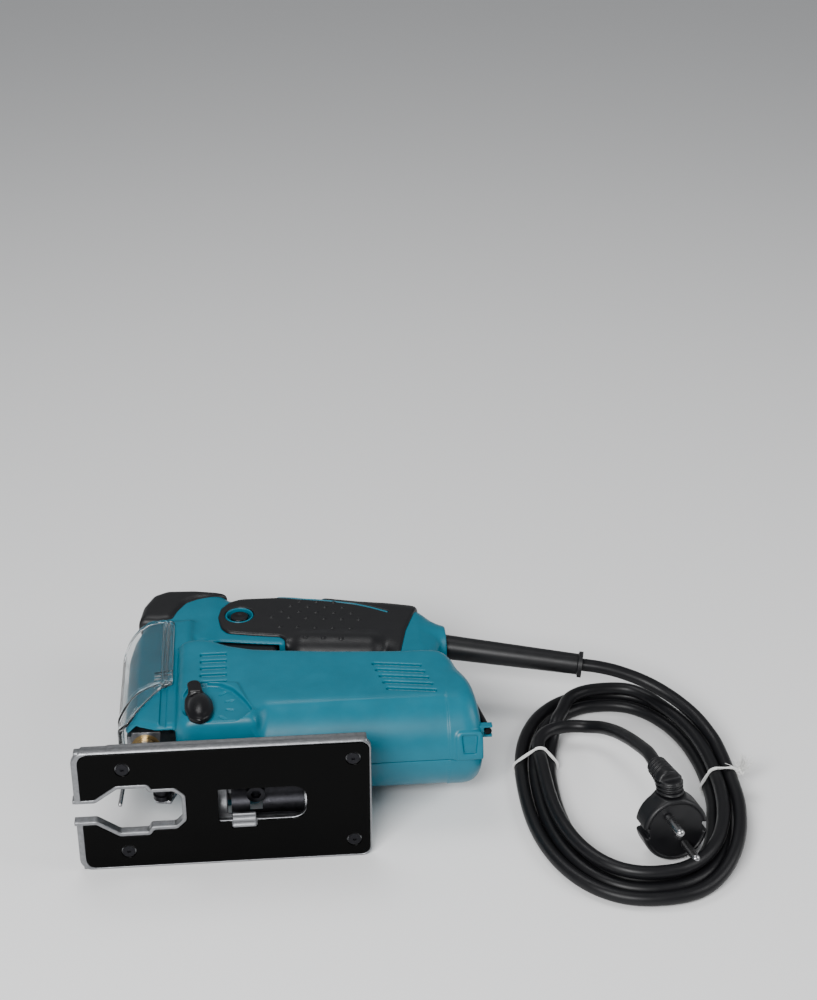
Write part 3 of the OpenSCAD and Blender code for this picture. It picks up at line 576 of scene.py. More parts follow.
NOSE_SIDE = [(23, 60), (23, 127), (28, 145.5), (37.5, 155), (60, 155), (60, 44), (42, 48)]
NOSE_PLAN = [(23, 10), (31, 18.6), (52, 21.6), (66, 24)]
BODY_SIDE = [(51, 41), (58, 36.4), (98, 36.4), (104, 50), (212, 50), (CAP_END - 1, 62), (217, 74),
             (212, 93), (207, 100.5), (178, 101), (140, 104), (112, 107.3), (97, 109.5), (84, 114),
             (72, 121.5), (51, 124)]
BODY_PLAN = [(51, 24.4), (56, 29), (62, BODY_HALF), (198, BODY_HALF), (212, 28), (CAP_END, 24)]
COLUMN_SIDE = [(46, 116), (72, 116), (73, 142), (80, 189), (62, 192.6), (46, 193.2), (38.5, 189),
               (33, 177), (30, 160), (36, 150)]
HANDLE_SIDE = [(66, 140.8), (82, 138), (97, 135.3), (114, 132.6), (168, 131), (176, 121),
               (180, 97), (207, 97), (205, 118), (211, 133), (211, 155), (203, 164.5),
               (196, 171), (180, 175.5), (162, 179), (144, 184), (118, 187.8), (100, 188.8),
               (66, 189)]
HANDLE_PLAN = [(60, HANDLE_HALF), (196, HANDLE_HALF), (207, 13), (211, 10.5)]
UPPER_PANEL = [(96, 46), (110, 46.5), (120, 49), (136, 51), (154, 51.5), (182, 51), (200, 50),
               (214, 44), (226, 60), (226, 130), (50, 140), (50, 76), (88, 72), (94, 52)]
SEAM_SIDE = [(113, 185.5), (129, 180.5), (144.6, 176.4), (160, 171.4), (169, 166.8),
             (178.5, 160.9)]
GRIP_SIDE = [(75.5, 163), (77.5, 173), (83, 180.5), (90, 184.2), (113, 184.6), (129, 180),
             (138, 178.2), (146, 192), (198, 184), (198, 166), (195, 160), (188.5, 141),
             (184.5, 122), (181.5, 109), (174, 112), (172, 118), (116, 119), (115.5, 136),
             (113, 139.2), (97, 142.2), (82, 145.6), (78, 151)]
POCKET_SIDE = [(56, 60), (57, 50), (59, 44), (64, 39), (75, 36.6), (85, 37.5), (92, 40.5),
               (96, 45), (92.5, 53.5), (85.5, 65.5), (78, 71.5), (68, 72.8), (60, 69)]
PAD_SIDE = [(28, 161), (40, 158.5), (50, 160), (53, 169), (58, 178), (64, 181.5), (71, 182.5),
            (82, 187.6), (82, 190.4), (62, 194.7), (45, 195.5), (36, 190.5), (30.5, 178)]


def handle_distance(f):
    """The handle's rounded loop, without its rubber."""
    # 1 round the trigger, where the edges are crisper, and 0 elsewhere
    crisp = np.clip((122 - f.x) / 8, 0, 1) * np.clip((154 - f.y) / 12, 0, 1)
    return smooth_max(f.side(HANDLE_SIDE, 3), f.plan(HANDLE_PLAN, 2), 11 - 9 * crisp)


def column_distance(f):
    """The front column that joins the body to the handle."""
    return smooth_max(f.side(COLUMN_SIDE, 3), np.abs(f.z) - 18.5, 9)


def housing_outside(f):
    """The moulded outside of both halves together."""
    nose = smooth_max(f.side(NOSE_SIDE, 2), f.plan(NOSE_PLAN, 3), 5)
    body = smooth_max(f.side(BODY_SIDE, 3), f.plan(BODY_PLAN, 4), 9)
    cap_face = (f.x - CAP_END - (MOTOR_Y - f.y) * CAP_LEAN) * 0.99
    barrel = smooth_max(f.rod_x((98, PAST_CAP), MOTOR_Y, 0, BARREL_R), cap_face, 12)
    ring = smooth_max(f.rod_x((203.4, PAST_CAP), MOTOR_Y, 0, BARREL_R + 0.5), cap_face, 12)
    barrel = np.minimum(barrel, ring)
    outside = smooth_min(nose, body, 2)
    outside = smooth_min(outside, barrel, 4)
    outside = smooth_min(outside, column_distance(f), 7)
    handle = handle_distance(f)
    outside = smooth_min(outside, handle, 6)
    seam = line_distance(f.x, f.y, SEAM_SIDE) - 0.65
    seam = np.maximum(np.maximum(handle - RUBBER_T, seam), SEAM_Z - np.abs(f.z))
    outside = np.minimum(outside, seam)
    boss = f.rod_x((198, 213.5), 146.4, 0, 12.4)
    outside = smooth_min(outside, smooth_max(boss, f.x - 213.5, 3), 5)
    panel = smooth_max(f.side(UPPER_PANEL, 2), BODY_HALF - PANEL_DEPTH - np.abs(f.z), 1.6)
    return smooth_max(outside, -panel, 1.6)


def housing_hollow(f, outside):
    """The inside of the shell, and the ways into it."""
    hollow = outside + WALL
    bearing = f.rod_x((200.5, 212), MOTOR_Y, 0, 12.6)
    backing = np.maximum(f.rod_z(SELECTOR_AT, (25.6, 40), 32), f.y - 84)
    hollow = np.maximum(hollow, -np.minimum(bearing, backing))
    hollow = np.minimum(hollow, f.rod_x((200, 207.1), MOTOR_Y, 0, 9.6))
    for at in HANDLE_SCREWS + BODY_SCREWS:
        boss = SCREW_BOSS_R - np.sqrt((f.x - at[0]) ** 2 + (f.y - at[1]) ** 2)
        hollow = np.maximum(hollow, boss)
    mouth = np.maximum(f.plan([(25.5, 8), (31, 15.3), (52, 18.4), (53, 18.4)]), f.y - 62)
    ways = [mouth, f.box((10, 30), (30, 112), (-8.5, 8.5)), f.box((50, 84), (30, 42), (-14, 14)),
            f.box((74, 112.4), (124, 154), (-14.7, 14.7)),
            f.rod_y((SLIDER_X, 0), (132, 145.4), SLIDER_WAY_R)]
    for way in ways:
        hollow = smooth_min(hollow, way, 0.8)
    return hollow


def louvres(f):
    """Shallow slots on both sides, each with a narrow way through at its lower edge."""
    cut = np.float32(1e3)
    depth = BODY_HALF - PANEL_DEPTH - np.abs(f.z)
    for i in range(VENT_COUNT):
        y = FRONT_VENT_Y + FRONT_VENT_STEP * i
        slot = np.maximum(f.box((66.8, 81.6), (y - 1.5, y + 1.5), (-FAR, FAR)), depth - SLOT_DEPTH)
        gap = f.box((67.2, 81.2), (y - 1.3, y + 0.1), (-FAR, FAR))
        cut = np.minimum(cut, np.minimum(slot, gap))
        x = REAR_VENT_AT[0] + REAR_VENT_STEP[0] * i
        y = REAR_VENT_AT[1] + REAR_VENT_STEP[1] * i
        lean = math.radians(REAR_VENT_LEAN)
        along = (f.x - x) * math.cos(lean) + (f.y - y) * math.sin(lean)
        across = (f.y - y) * math.cos(lean) - (f.x - x) * math.sin(lean)
        slot = smooth_max(np.abs(along) - 14.2, np.abs(across) - 1.4, 1.5)
        gap = np.maximum(np.abs(along) - 13.4, np.abs(across + 0.6) - 0.7)
        slot = np.maximum(slot, depth - SLOT_DEPTH)
        cut = np.minimum(cut, np.minimum(slot, gap))
    return cut


def selector_pocket(f):
    """Finger pocket round the selector, with plain marks at its four positions."""
    floor = BODY_HALF - 3
    pocket = smooth_max(f.side(POCKET_SIDE, 2.5), floor - f.z, 0.8)
    for degrees in SELECTOR_MARKS:
        turn = math.radians(degrees)
        dx = f.x - SELECTOR_AT[0]
        dy = f.y - SELECTOR_AT[1]
        along = dx * math.cos(turn) + dy * math.sin(turn)
        across = dy * math.cos(turn) - dx * math.sin(turn)
        mark = np.maximum(np.abs(along - 17.5) - 2.2, np.abs(across) - 0.45)
        pocket = np.minimum(pocket, np.maximum(mark, floor - 0.5 - f.z))
    return pocket


def housing_half(sign):
    """One half of the shell, cut at the middle with a fine rounded edge."""
    span = (-0.6, 33.4) if sign > 0 else (-33.4, 0.6)
    f = Field((20.6, 29.6, span[0]), (226.4, 197.4, span[1]), 0.55)
    outside = housing_outside(f)
    shell = smooth_max(outside, -housing_hollow(f, outside), 0.6)
    shell = smooth_max(shell, -louvres(f), 0.5)
    guard_way = f.rod_x((200, 230), GUARD_Y, 0, GUARD_WAY_R)
    shell = smooth_max(shell, -guard_way, 0.8)
    rails = np.maximum(f.box((44.2, 47.8), (44, 153), (-FAR, FAR)), 19.4 - np.abs(f.z))
    shell = np.maximum(shell, -rails)
    for at in HANDLE_SCREWS + BODY_SCREWS:
        head = f.rod_z(at, (-FAR, -10.3), SCREW_HEAD_R)
        shank = f.rod_z(at, (-FAR, 14), SCREW_SHANK_R)
        shell = smooth_max(shell, -np.minimum(head, shank), 0.6)
    if sign > 0:
        shell = smooth_max(shell, -selector_pocket(f), 0.6)
        shell = np.maximum(shell, -f.rod_z(SELECTOR_AT, (0, FAR), 4.4))
        dish = smooth_max(f.rod_z(LOCK_AT, (-FAR, FAR), 7.4), 12.4 - f.z, 1.5)
        rim = f.rod_z(LOCK_AT, (10, 17.9), 8.4)
        shell = smooth_min(shell, rim, 0.8)
        shell = smooth_max(shell, -dish, 1)
        shell = smooth_max(shell, -f.rod_z(LOCK_AT, (0, FAR), 5.9), 0.5)
    shell = smooth_max(shell, 0.06 - sign * f.z, 0.5)
    return f, shell


def key_cut(f):
    """Groove and hole for the hex key in the left half."""
    lean = math.radians(KEY_LEAN)
    dx = f.x - KEY_AT[0]
    dy = f.y - KEY_AT[1]
    u = dx * math.cos(lean) + dy * math.sin(lean)
    v = dy * math.cos(lean) - dx * math.sin(lean)
    beside = np.abs(f.z - KEY_Z) - 2.4
    groove = np.maximum(np.maximum(4.7 - u, np.abs(v + 30) - 30), beside)
    top = np.maximum(np.maximum(-u, np.abs(v + 1.5) - 3.9), beside)
    hole = np.maximum(np.sqrt(v * v + (f.z - KEY_Z) ** 2) - 2.3, np.abs(u + 3) - 15)
    return np.minimum(np.minimum(groove, top), hole)


def cap_lug(f):
    """Raised pad low on the motor cap, and the small pocket in it."""
    from_axis = np.sqrt((f.y - MOTOR_Y) ** 2 + f.z ** 2)
    round_it = np.arctan2(-f.z, MOTOR_Y - f.y) * BARREL_R
    pad = smooth_max(np.abs(f.x - 215) - 7.6, np.abs(round_it + 6.6) - 9.8, 4)
    pad = smooth_max(pad, from_axis - BARREL_R - 1.4, 1.2)
    pad = smooth_max(pad, f.x - CAP_END - (MOTOR_Y - f.y) * CAP_LEAN + 0.5, 3)
    pocket = smooth_max(np.abs(f.x - 214.8) - 3.9 + (round_it + 9) * 0.1,
                        np.abs(round_it + 9) - 5.2, 1)
    pocket = smooth_max(pocket, BARREL_R - 0.2 - from_axis, 0.6)
    return smooth_max(pad, BARREL_R - 3 - from_axis, 0.5), pocket


field, left = housing_half(1)
lug, lug_pocket = cap_lug(field)
lug = smooth_max(lug, 0.06 - field.z, 0.5)
left = smooth_max(smooth_min(left, lug, 1.2), -lug_pocket, 0.6)
left = smooth_max(left, -key_cut(field), 0.4)
skin("housing_left_shell", field, left, "teal_plastic", "housing", ["housing_left"])
field, right = housing_half(-1)
skin("housing_right_shell", field, right, "teal_plastic", "housing", ["housing_right"])
del left, right, lug, lug_pocket

# Hook on the motor cap that holds the tip of the key
field = Field((212, 36.5, 5), (230.5, 45.5, 19), 0.3)
hook = field.box((CAP_END - 2, 228.1), (38.9, 43.1), (8.3, 15.7))
hook = smooth_max(hook, -key_cut(field), 0.8)
skin("key_hook", field, hook, "teal_plastic", "housing", [])


# ---------- rubber ----------

# Raised dots on the sides of the grip: each row's count and start, the step along a row and
# the shift of them all
DOT_ROWS = [(3, 131.2, 176.2), (4, 125.6, 171.2), (5, 120, 165.7), (6, 113.8, 159.6),
            (5, 118.4, 148.4), (3, 133.2, 132)]
DOT_STEP = (10.5, -1.45)
DOT_SHIFT = (-5.3, 0.7)
DOT_R = 1.35


def dot_spots():
    """Middles of the grip's raised dots."""
    spots = []
    for count, x, y in DOT_ROWS:
        for k in range(count):
            spots.append((x + DOT_STEP[0] * k + DOT_SHIFT[0], y + DOT_STEP[1] * k + DOT_SHIFT[1]))
    return spots


def palm_swell(f, sign):
    """Swell along the lower rear of the grip."""
    lean = math.radians(-6)
    dx = f.x - 147
    dy = f.y - 133
    along = dx * math.cos(lean) + dy * math.sin(lean)
    across = dy * math.cos(lean) - dx * math.sin(lean)
    reach = np.sqrt(across * across + (f.z - sign * 7.5) ** 2)
    reach = np.sqrt(np.maximum(np.abs(along) - 19, 0) ** 2 + reach * reach)
    return reach - 12.4


def grip_half(sign):
    """One side of the rubber over the handle, with a swell for the palm."""
    span = (-0.6, 22.4) if sign > 0 else (-22.4, 0.6)
    f = Field((70, 102, span[0]), (214, 192, span[1]), 0.45)
    handle = handle_distance(f)
    outline = f.side(GRIP_SIDE, 2)
    rubber = smooth_min(handle - RUBBER_T, palm_swell(f, sign), 3)
    bumps = np.float32(1e3)
    for x, y in dot_spots():
        across = np.sqrt((f.x - x) ** 2 + (f.y - y) ** 2)
        bumps = np.minimum(bumps, across)
    dots = smooth_max(rubber - 0.6, bumps - DOT_R, 1.1)
    rubber = np.minimum(rubber, np.maximum(dots, 8 - np.abs(f.z)))
    rubber = smooth_max(rubber, outline, 2)
    seam = line_distance(f.x, f.y, SEAM_SIDE) - 0.85
    rubber = smooth_max(rubber, -np.maximum(seam, SEAM_Z - np.abs(f.z)), 0.6)
    rubber = np.maximum(rubber, -(handle + 0.5))
    if sign > 0:
        lock_ring = 8.7 - np.sqrt((f.x - LOCK_AT[0]) ** 2 + (f.y - LOCK_AT[1]) ** 2)
        rubber = smooth_max(rubber, lock_ring, 1)
    return f, smooth_max(rubber, 0.05 - sign * f.z, 0.4)


for side_name, sign in (("left", 1), ("right", -1)):
    field, rubber = grip_half(sign)
    skin(f"grip_{side_name}_rubber", field, rubber, "black_rubber", "housing", [f"grip_{side_name}"])

field = Field((25, 155, -22), (85, 200, 22), 0.45)
pad = smooth_max(field.side(PAD_SIDE, 2), np.abs(field.z) - 20.3, 7)
pad = np.maximum(pad, -(column_distance(field) + 0.5))
pad = np.maximum(pad, -(handle_distance(field) + 0.5))
skin("front_pad_rubber", field, pad, "black_rubber", "housing", ["front_pad"])

# ---------- controls ----------

field = Field((50, 30, 26.5), (84, 81, 37), 0.3)
face = BODY_HALF - 2.7
lobe = field.side([(60.9, 63), (65.4, 65), (69.4, 62), (73.6, 54), (74.6, 46), (72.4, 38.5),
                   (67.6, 34.8), (61.6, 38), (58.6, 48), (58.6, 57)], 2)
disc = smooth_max(lobe, np.abs(field.z - face - 1.6) - 1.6, 1.2)
arm = field.side([(60.9, 60), (59.8, 69), (62, 71.6), (65.6, 71.6), (67.4, 69), (68.6, 60)], 1.5)
arm = smooth_max(arm, np.abs(field.z - face - 4.2) - 1.3, 1.2)
grip_egg = field.egg((67, 48.4, face + 2.4), (6.6, 12.4, 4.6))
knob = smooth_min(smooth_min(disc, grip_egg, 1.5), arm, 1.5)
knob = np.minimum(knob, field.rod_z(SELECTOR_AT, (20, face + 0.5), 4))
skin("selector_knob", field, knob, "black_plastic", "selector", ["selector_lever"])

field = Field((73, 125, -15.5), (114, 163, 15.5), 0.4)
trigger = smooth_max(field.side([(75.5, 138.2), (78, 133.5), (86, 129.8), (104, 127.5), (111, 127.5),
                                 (111.6, 147), (75.5, 147)], 1.5), np.abs(field.z) - 14.2, 3)
stem = field.rod_y((92, 0), (145, 161), 2.5)
skin("trigger_key", field, np.minimum(trigger, stem), "black_plastic", "trigger",
     ["switch_trigger"])

field = Field((81, 156, 11.5), (97, 172.5, 19), 0.25)
button = smooth_max(field.rod_z(LOCK_AT, (12.8, 17.2), 5.4), field.z - 17.2, 1)
button = smooth_max(button, -field.egg((*LOCK_AT, 18.6), (4.6, 4.6, 2.2)), 0.6)
skin("lock_key", field, button, "black_plastic", "lock_button", ["lock_button"])

# ---------- clear cover ----------

COVER_WALL = 1.6
COVER_REAR = 50.4
RIDGE_COUNT = 5
RIDGE_Y = 83.6
RIDGE_STEP = 3.35
COVER_PLAN = [(20.6, 12.4), (24, 16.5), (30, 21.2), (40, 22.9), (50.6, 24), (60, 25)]
COVER_SIDE = [(19, 56), (19, 127), (24, 143), (35, 153), (44, 154), (50.7, 150), (50.7, 84.5),
              (46, 84), (41.5, 79), (37.5, 73), (34, 67.5), (31, 62), (28.5, 57), (26, 55)]
LIP_SIDE = [(52, 89.5), (45.7, 88.5), (38.5, 86), (31.5, 82), (26, 77), (22, 70), (18, 63)]
field = Field((18.5, 53.5, -25.8), (52.5, 156, 25.8), 0.35)
wall_line = field.plan(COVER_PLAN, 2.5) + 0.85
outline = field.side(COVER_SIDE, 2.5)
cover = smooth_max(np.abs(wall_line) - COVER_WALL / 2, outline, 0.8)
bead = np.sqrt(wall_line ** 2 + (outline + 0.9) ** 2) - 1.05
cover = smooth_min(cover, np.maximum(bead, field.x - COVER_REAR), 0.8)
lip = np.sqrt(wall_line ** 2 + line_distance(field.x, field.y, LIP_SIDE) ** 2) - 1.15
cover = smooth_min(cover, np.maximum(lip, field.x - COVER_REAR), 1.2)
for x in (45.1, 47.2):
    rail = np.maximum(np.abs(field.x - x) - 0.45, np.abs(field.y - 117) - 33)
    cover = np.minimum(cover, np.maximum(rail, np.abs(wall_line) - 1.7))
for i in range(RIDGE_COUNT):
    ridge = np.sqrt((field.y - RIDGE_Y - RIDGE_STEP * i) ** 2 + (wall_line - 0.9) ** 2) - 0.5
    cover = smooth_min(cover, np.maximum(ridge, np.abs(field.x - 45.6) - 5.2), 0.5)
skin("dust_cover_clear", field, cover, "clear_plastic", "dust_cover", ["dust_cover"])

# ---------- sole ----------

SOLE_LENGTH = (sole_high.x - sole_low.x) / MM
WINDOW_X = 99.6
WINDOW_HALF = (23.6, 10.6)
PLATE_T = 4
COVER_T = 1.3
TILT_Y = 4
HUMP_R = 17
HUMP_X = 99
# The hump's slot, each way from the middle: 45 degrees of tilt and the width of the clamp
SLOT_HALF_ANGLE = 63
# Length along the sole and height of each step of the side flanges
FLANGES = (((19, SOLE_LENGTH - 2), 8), ((5, 20), 7.3), ((1.6, 5.6), 6))
TAB_X = 89.4
TAB_Z = -9.8
TAB_HALF = (6.4, 4.7)
RIB_STEP = 3.9
SCREW_WAY_R = 1.8
SCREW_SINK_R = 3.9
# Outline of half the blade opening, and where the four screws are
FORK = [(-5, 6), (11, 6), (23, 14.5), (38, 14.5), (39.5, 11.3), (52.5, 11.3), (56.5, 7.3)]
SOLE_SCREWS = [(x, z) for x in (26.5, 148.5) for z in (-27, 27)]


def fork_distance(f, grow):
    """The blade opening, grown by a lip's width."""
    grown = [(x + (grow if x > 50 else grow * 0.3 if x > 30 else 0), z + grow) for x, z in FORK]
    return f.plan(grown, 1.5)


def window_distance(f):
    """The opening for the base bolt, with round corners at its rear end."""
    along = np.abs(f.x - WINDOW_X) - WINDOW_HALF[0]
    across = np.abs(f.z) - WINDOW_HALF[1]
    return np.where(f.x > 100, smooth_max(along, across, 9), smooth_max(along, across, 0.8))


def sole_pieces():
    """The cast base and the black cover that lies in its underside."""
    f = Field((-1, -0.8, -39.5), (159, 22.4, 39.5), 0.42)
    half = half_width
    outline = f.plan([(0, half - 5), (1.8, half - 1.8), (5, half), (SOLE_LENGTH - 3, half),
                      (SOLE_LENGTH, half - 3)], 2)
    inner = f.plan([(3.4, half - 6), (4.8, half - 2.6), (8.4, half - 1.2),
                    (SOLE_LENGTH - 4, half - 1.2), (SOLE_LENGTH - 1, half - 4)], 2)
    plate = smooth_max(outline, np.abs(f.y - PLATE_T / 2) - PLATE_T / 2, 1.1)
    edge = np.abs(np.abs(f.z) - half + 1.4) - 1.4
    for x, top in FLANGES:
        long = np.abs(f.x - sum(x) / 2) - (x[1] - x[0]) / 2
        flange = smooth_max(smooth_max(edge, long, 0.8), np.abs(f.y - top / 2) - top / 2, 0.8)
        plate = smooth_min(plate, np.maximum(flange, 1 - f.y), 0.6)
    from_axis = np.sqrt((f.y - TILT_Y) ** 2 + f.z ** 2)
    hump = smooth_max(np.maximum(from_axis - HUMP_R, TILT_Y - 1 - f.y), np.abs(f.x - HUMP_X) - 31, 1.5)
    plate = smooth_min(plate, hump, 1.2)
    lip = np.maximum(fork_distance(f, 2.2), np.abs(f.y - 2.8) - 2.8)
    plate = smooth_min(plate, np.maximum(lip, np.abs(f.z) - 30), 0.5)
    inside = np.maximum(np.maximum(from_axis - HUMP_R + 3.5, TILT_Y - f.y), np.abs(f.x - HUMP_X) - 29)
    slot = np.maximum(f.box((80.6, 99.4), (TILT_Y, 40), (-40, 40)),
                      np.cos(math.radians(SLOT_HALF_ANGLE)) * from_axis - (f.y - TILT_Y))
    fork = fork_distance(f, 0)
    window = window_distance(f)
    for opening in (fork, np.maximum(window, f.y - TILT_Y - 0.5), inside, slot):
        plate = smooth_max(plate, -opening, 0.7)
    bed = np.maximum(np.maximum(inner, 2.2 - fork), f.y - COVER_T)
    plate = smooth_max(plate, -bed, 0.5)
    cover = np.maximum(np.maximum(inner + 0.15, 2.35 - fork), np.abs(f.y - COVER_T / 2) - COVER_T / 2)
    cover = smooth_max(cover, -window, 0.5)
    cover = smooth_max(cover, -f.box((82.6, 96.2), (-1, 5), (-14.9, 0)), 0.4)
    for x, z in SOLE_SCREWS:
        reach = np.sqrt((f.x - x) ** 2 + (f.z - z) ** 2)
        plate = np.maximum(plate, SCREW_WAY_R - reach)
        cover = smooth_max(cover, SCREW_SINK_R - reach, 0.5)
    return f, plate, cover


field, plate, cover = sole_pieces()
skin("base_casting", field, plate, "cast_alloy", "base", ["base_plate"])
sole_skin = skin("sole_cover_plate", field, cover, "black_plastic", "base", ["sole_cover"])
sole_skin.data.materials[0] = cover_black
del plate, cover

field = Field((81.5, -1.4, -16), (97, 1.8, -3.5), 0.2)
ribs = field.y + 0.25 + 0.42 * np.cos((field.z + 5.9) * 2 * math.pi / RIB_STEP)
tab = smooth_max(np.maximum(-ribs, field.y - COVER_T), np.abs(field.x - TAB_X) - TAB_HALF[0], 0.8)
tab = smooth_max(tab, np.abs(field.z - TAB_Z) - TAB_HALF[1], 0.8)
skin("sole_tab", field, tab, "cast_alloy", "base", ["sole_clip"])

# ---------- ties and plug ----------

STRING_R = 0.55
KNOT_R = 0.8
FIBRE_R = 0.13
LOOP_POINTS = 96
FIBRES = 150
KNOT_SEED = 7


def tie_loop(y, x_range):
    """A closed line round the strands that cross y between the two x values."""
    hits = []
    for a, b in zip(cord_path, cord_path[1:]):
        if (a.y - y) * (b.y - y) <= 0 and x_range[0] < a.x < x_range[1]:
            hits.append(a.lerp(b, (y - a.y) / (b.y - a.y)))
    reach = CORD_D / 2 + STRING_R * 1.7
    loop = []
    for i in range(LOOP_POINTS):
        turn = 2 * math.pi * i / LOOP_POINTS
        c = math.cos(turn)
        s = math.sin(turn)
        best = max(hits, key=lambda p: p.x * c + p.z * s)
        loop.append(Vector((best.x + reach * c, y, max(best.z + reach * s, STRING_R * 2))))
    return loop


def twisted(loop, turns):
    """Two plies wound round a closed line."""
    plies = []
    count = len(loop)
    dense = []
    for i in range(count):
        for k in range(3):
            dense.append(loop[i].lerp(loop[(i + 1) % count], k / 3))
    count = len(dense)
    centre = sum(dense, Vector()) / count
    for ply in (0, math.pi):
        line = []
        for i, p in enumerate(dense):
            spin = ply + 2 * math.pi * turns * i / count
            out = Vector((p.x - centre.x, 0, p.z - centre.z)).normalized()
            offset = out * math.cos(spin) + Vector((0, 1, 0)) * math.sin(spin)
            line.append(on_floor(*(p + offset * STRING_R * 0.75)))
        plies.append(line)
    return plies


def knot(at, seed):
    """A small knot with frayed ends that stand out from it."""
    chance = random.Random(seed)
    lines = []
    for _ in range(3):
        tilt = Vector((chance.uniform(-1, 1), chance.uniform(-1, 1), chance.uniform(-1, 1)))
        a = tilt.normalized()
        b = a.orthogonal().normalized()
        c = a.cross(b)
        ring = [at + (b * math.cos(t) + c * math.sin(t)) * 1.7 for t in np.linspace(0, 5.6, 20)]
        lines.append([on_floor(*p) for p in ring])
    fibres = []
    for _ in range(FIBRES):
        aim = Vector((chance.gauss(0.5, 0.5), chance.gauss(0.2, 0.5), chance.gauss(0.9, 0.5)))
        aim = aim.normalized()
        bend = Vector((chance.gauss(0, 1), chance.gauss(0, 1), chance.gauss(0, 1))) * 0.35
        long = chance.uniform(3, 7.5)
        start = at + aim * 0.8
        line = [start + aim * long * t + bend * long * t * t for t in np.linspace(0, 1, 7)]
        fibres.append([on_floor(p.x, p.y, max(p.z, 0.4)) for p in line])
    return lines, fibres


left_tie = tie_loop(67.5, (240, 280))
right_tie = tie_loop(39.5, (340, 375))
knot_lines, fibre_lines = knot(Vector((371, 38, 15)), KNOT_SEED)
string = tube("string_ties", twisted(left_tie, 26), STRING_R, cyclic=True, resolution=3)
string_right = tube("string_tie_right", twisted(right_tie, 22), STRING_R, cyclic=True, resolution=3)
string_knot = tube("string_knot", knot_lines, KNOT_R, resolution=3)
string_fray = tube("string_fray", fibre_lines, FIBRE_R, resolution=1)
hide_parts("cord_ties")
for piece in (string, string_right, string_knot, string_fray):
    piece.data.materials.append(finishes["cotton_string"])
    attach(piece, "housing")

PLUG_CENTRE = (321.5, -14.5, 19.2)
PLUG_BOOT = (315.3, 13, 42)
PLUG_NECK = (319.6, -4, 42)
PLUG_R = 18.3
NECK_V = 6.5
PLUG_TURN = 8
PLUG_LEAN = -10
# Where the neck and the boot have their grooves
GROOVE_COUNT = 4
NECK_GROOVES = (18.5, 2.3)
BOOT_GROOVES = (6, 2.6)


def plug_field():
    """The plug's own coordinates: v from its face to its back, w up its neck."""
    mid = PLUG_CENTRE[2] - half_width
    f = Field((298, -37, -half_width + 0.4), (344, 18, 14), 0.4)
    turn = math.radians(PLUG_TURN)
    lean = math.radians(PLUG_LEAN)
    dx = f.x - PLUG_CENTRE[0]
    dy = f.y - PLUG_CENTRE[1]
    dz = f.z - mid
    u = dx * math.cos(turn) + dy * math.sin(turn)
    flat = dy * math.cos(turn) - dx * math.sin(turn)
    v = flat * math.cos(lean) + dz * math.sin(lean)
    w = dz * math.cos(lean) - flat * math.sin(lean)
    return f, u, v, w


def rod_between(f, a, b, radius_a, radius_b):
    """A tapered rod between two points given by their heights above the floor."""
    a = np.array([a[0], a[1], a[2] - half_width])
    run = np.array([b[0], b[1], b[2] - half_width]) - a
    long = np.linalg.norm(run)
    run = run / long
    dx = f.x - a[0]
    dy = f.y - a[1]
    dz = f.z - a[2]
    along = dx * run[0] + dy * run[1] + dz * run[2]
    off = np.sqrt(np.maximum(dx * dx + dy * dy + dz * dz - along * along, 0))
    share = np.clip(along / long, 0, 1)
    rod = off - (radius_a + (radius_b - radius_a) * share)
    return smooth_max(rod, np.abs(along - long / 2) - long / 2, 2), along


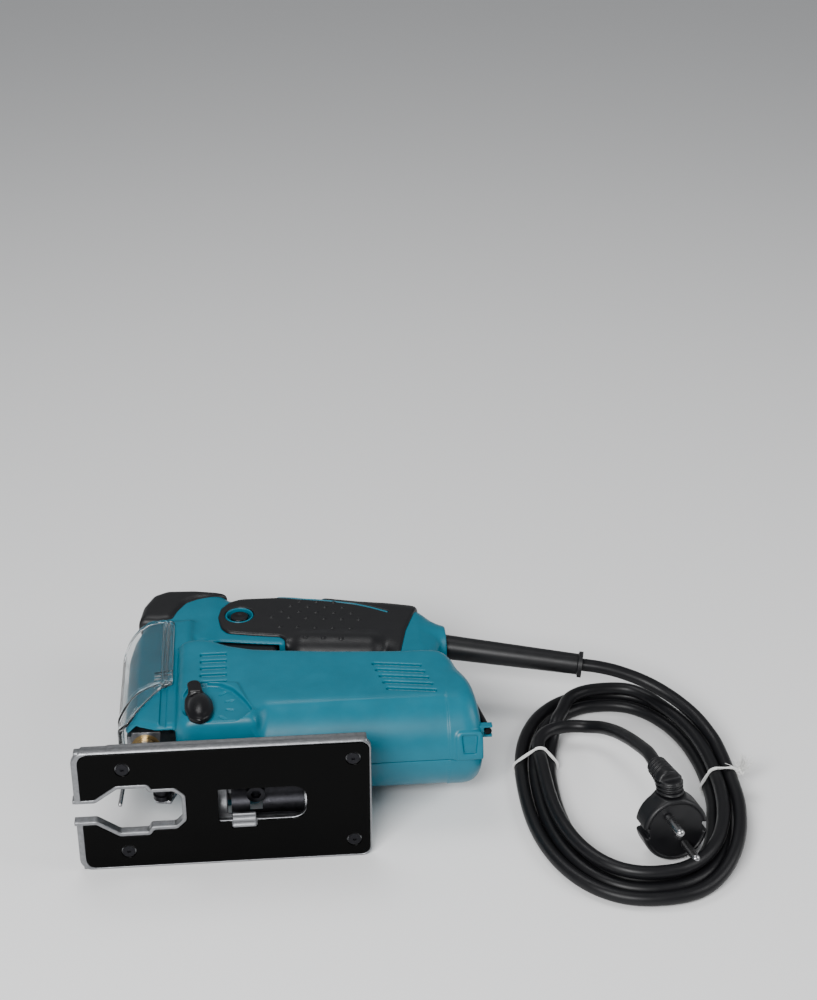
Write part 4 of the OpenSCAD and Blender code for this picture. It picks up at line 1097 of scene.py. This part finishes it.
field, u, v, w = plug_field()
disc = smooth_max(np.sqrt(u * u + w * w) - PLUG_R, np.abs(v - 4.5) - 8.4, 3)
dish = smooth_max(np.sqrt(u * u + w * w) - PLUG_R + 2.2, v + 2.9, 0.8)
disc = smooth_max(disc, -dish, 0.8)
neck = smooth_max(np.sqrt(u * u + (v - NECK_V) ** 2) - 7, np.abs(w - 17) - 9, 2.5)
body = smooth_min(disc, neck, 5)
boot, along = rod_between(field, PLUG_NECK, PLUG_BOOT, 7, 5.6)
body = smooth_min(body, boot, 3)
for k in range(GROOVE_COUNT):
    up_neck = np.abs(w - NECK_GROOVES[0] - NECK_GROOVES[1] * k) - 0.5
    groove = np.maximum(up_neck, 6.1 - np.sqrt(u * u + (v - NECK_V) ** 2))
    body = smooth_max(body, -groove, 0.4)
    up_boot = np.abs(along - BOOT_GROOVES[0] - BOOT_GROOVES[1] * k) - 0.5
    ring = np.maximum(up_boot, -0.9 - boot)
    body = smooth_max(body, -ring, 0.4)
for edge in (-1, 1):
    notch = np.maximum(np.abs(u - edge * PLUG_R) - 3.2, np.abs(w) - 2.6)
    body = smooth_max(body, -np.maximum(notch, v - 20), 0.8)
plug = skin("plug_moulding", field, body, "black_rubber", "housing", ["plug_body"])

# ---------- finishes of the CAD nodes that stay ----------

for entry in frame["record"]["subparts"]:
    node = frame["nodes"][entry["node"]]
    finish = finishes[entry["material_slot"]]
    node.data.materials.clear()
    node.data.materials.append(finish)

# ---------- floor and light ----------

FLOOR_SIZE = 12
FLOOR_GAP = 0.0002

bpy.ops.mesh.primitive_grid_add(x_subdivisions=8, y_subdivisions=8, size=FLOOR_SIZE,
                                location=(0.1, 2, floor_z - FLOOR_GAP))
ground = bpy.context.object
ground.name = "floor"
floor_paper, floor_tree, floor_shader = new_material("floor_paper", (0.86, 0.86, 0.86), 0.7)
bump(floor_tree, floor_shader, noise(floor_tree, object_coordinates(floor_tree), 0.8, 2), 0.01)
ground.data.materials.append(floor_paper)

world = bpy.data.worlds.new("studio")
bpy.context.scene.world = world
world.use_nodes = True
background = world.node_tree.nodes["Background"]
background.inputs["Color"].default_value = (0.95, 0.97, 1, 1)
background.inputs["Strength"].default_value = 0.3


def soft_light(name, at, target, size, power):
    """An area light that faces a target."""
    data = bpy.data.lights.new(name, "AREA")
    data.shape = "RECTANGLE"
    data.size, data.size_y = size
    data.energy = power
    lamp = bpy.data.objects.new(name, data)
    bpy.context.collection.objects.link(lamp)
    lamp.location = at
    lamp.rotation_euler = (Vector(target) - Vector(at)).to_track_quat("-Z", "Y").to_euler()


middle = (0.08, 0, 0.03)
soft_light("key", (-0.35, -0.95, 0.8), middle, (0.6, 0.4), 19)
soft_light("side", (1.0, -0.25, 0.7), middle, (0.6, 0.6), 5)
soft_light("top", (-0.15, 0.35, 1.1), middle, (0.5, 0.5), 4)
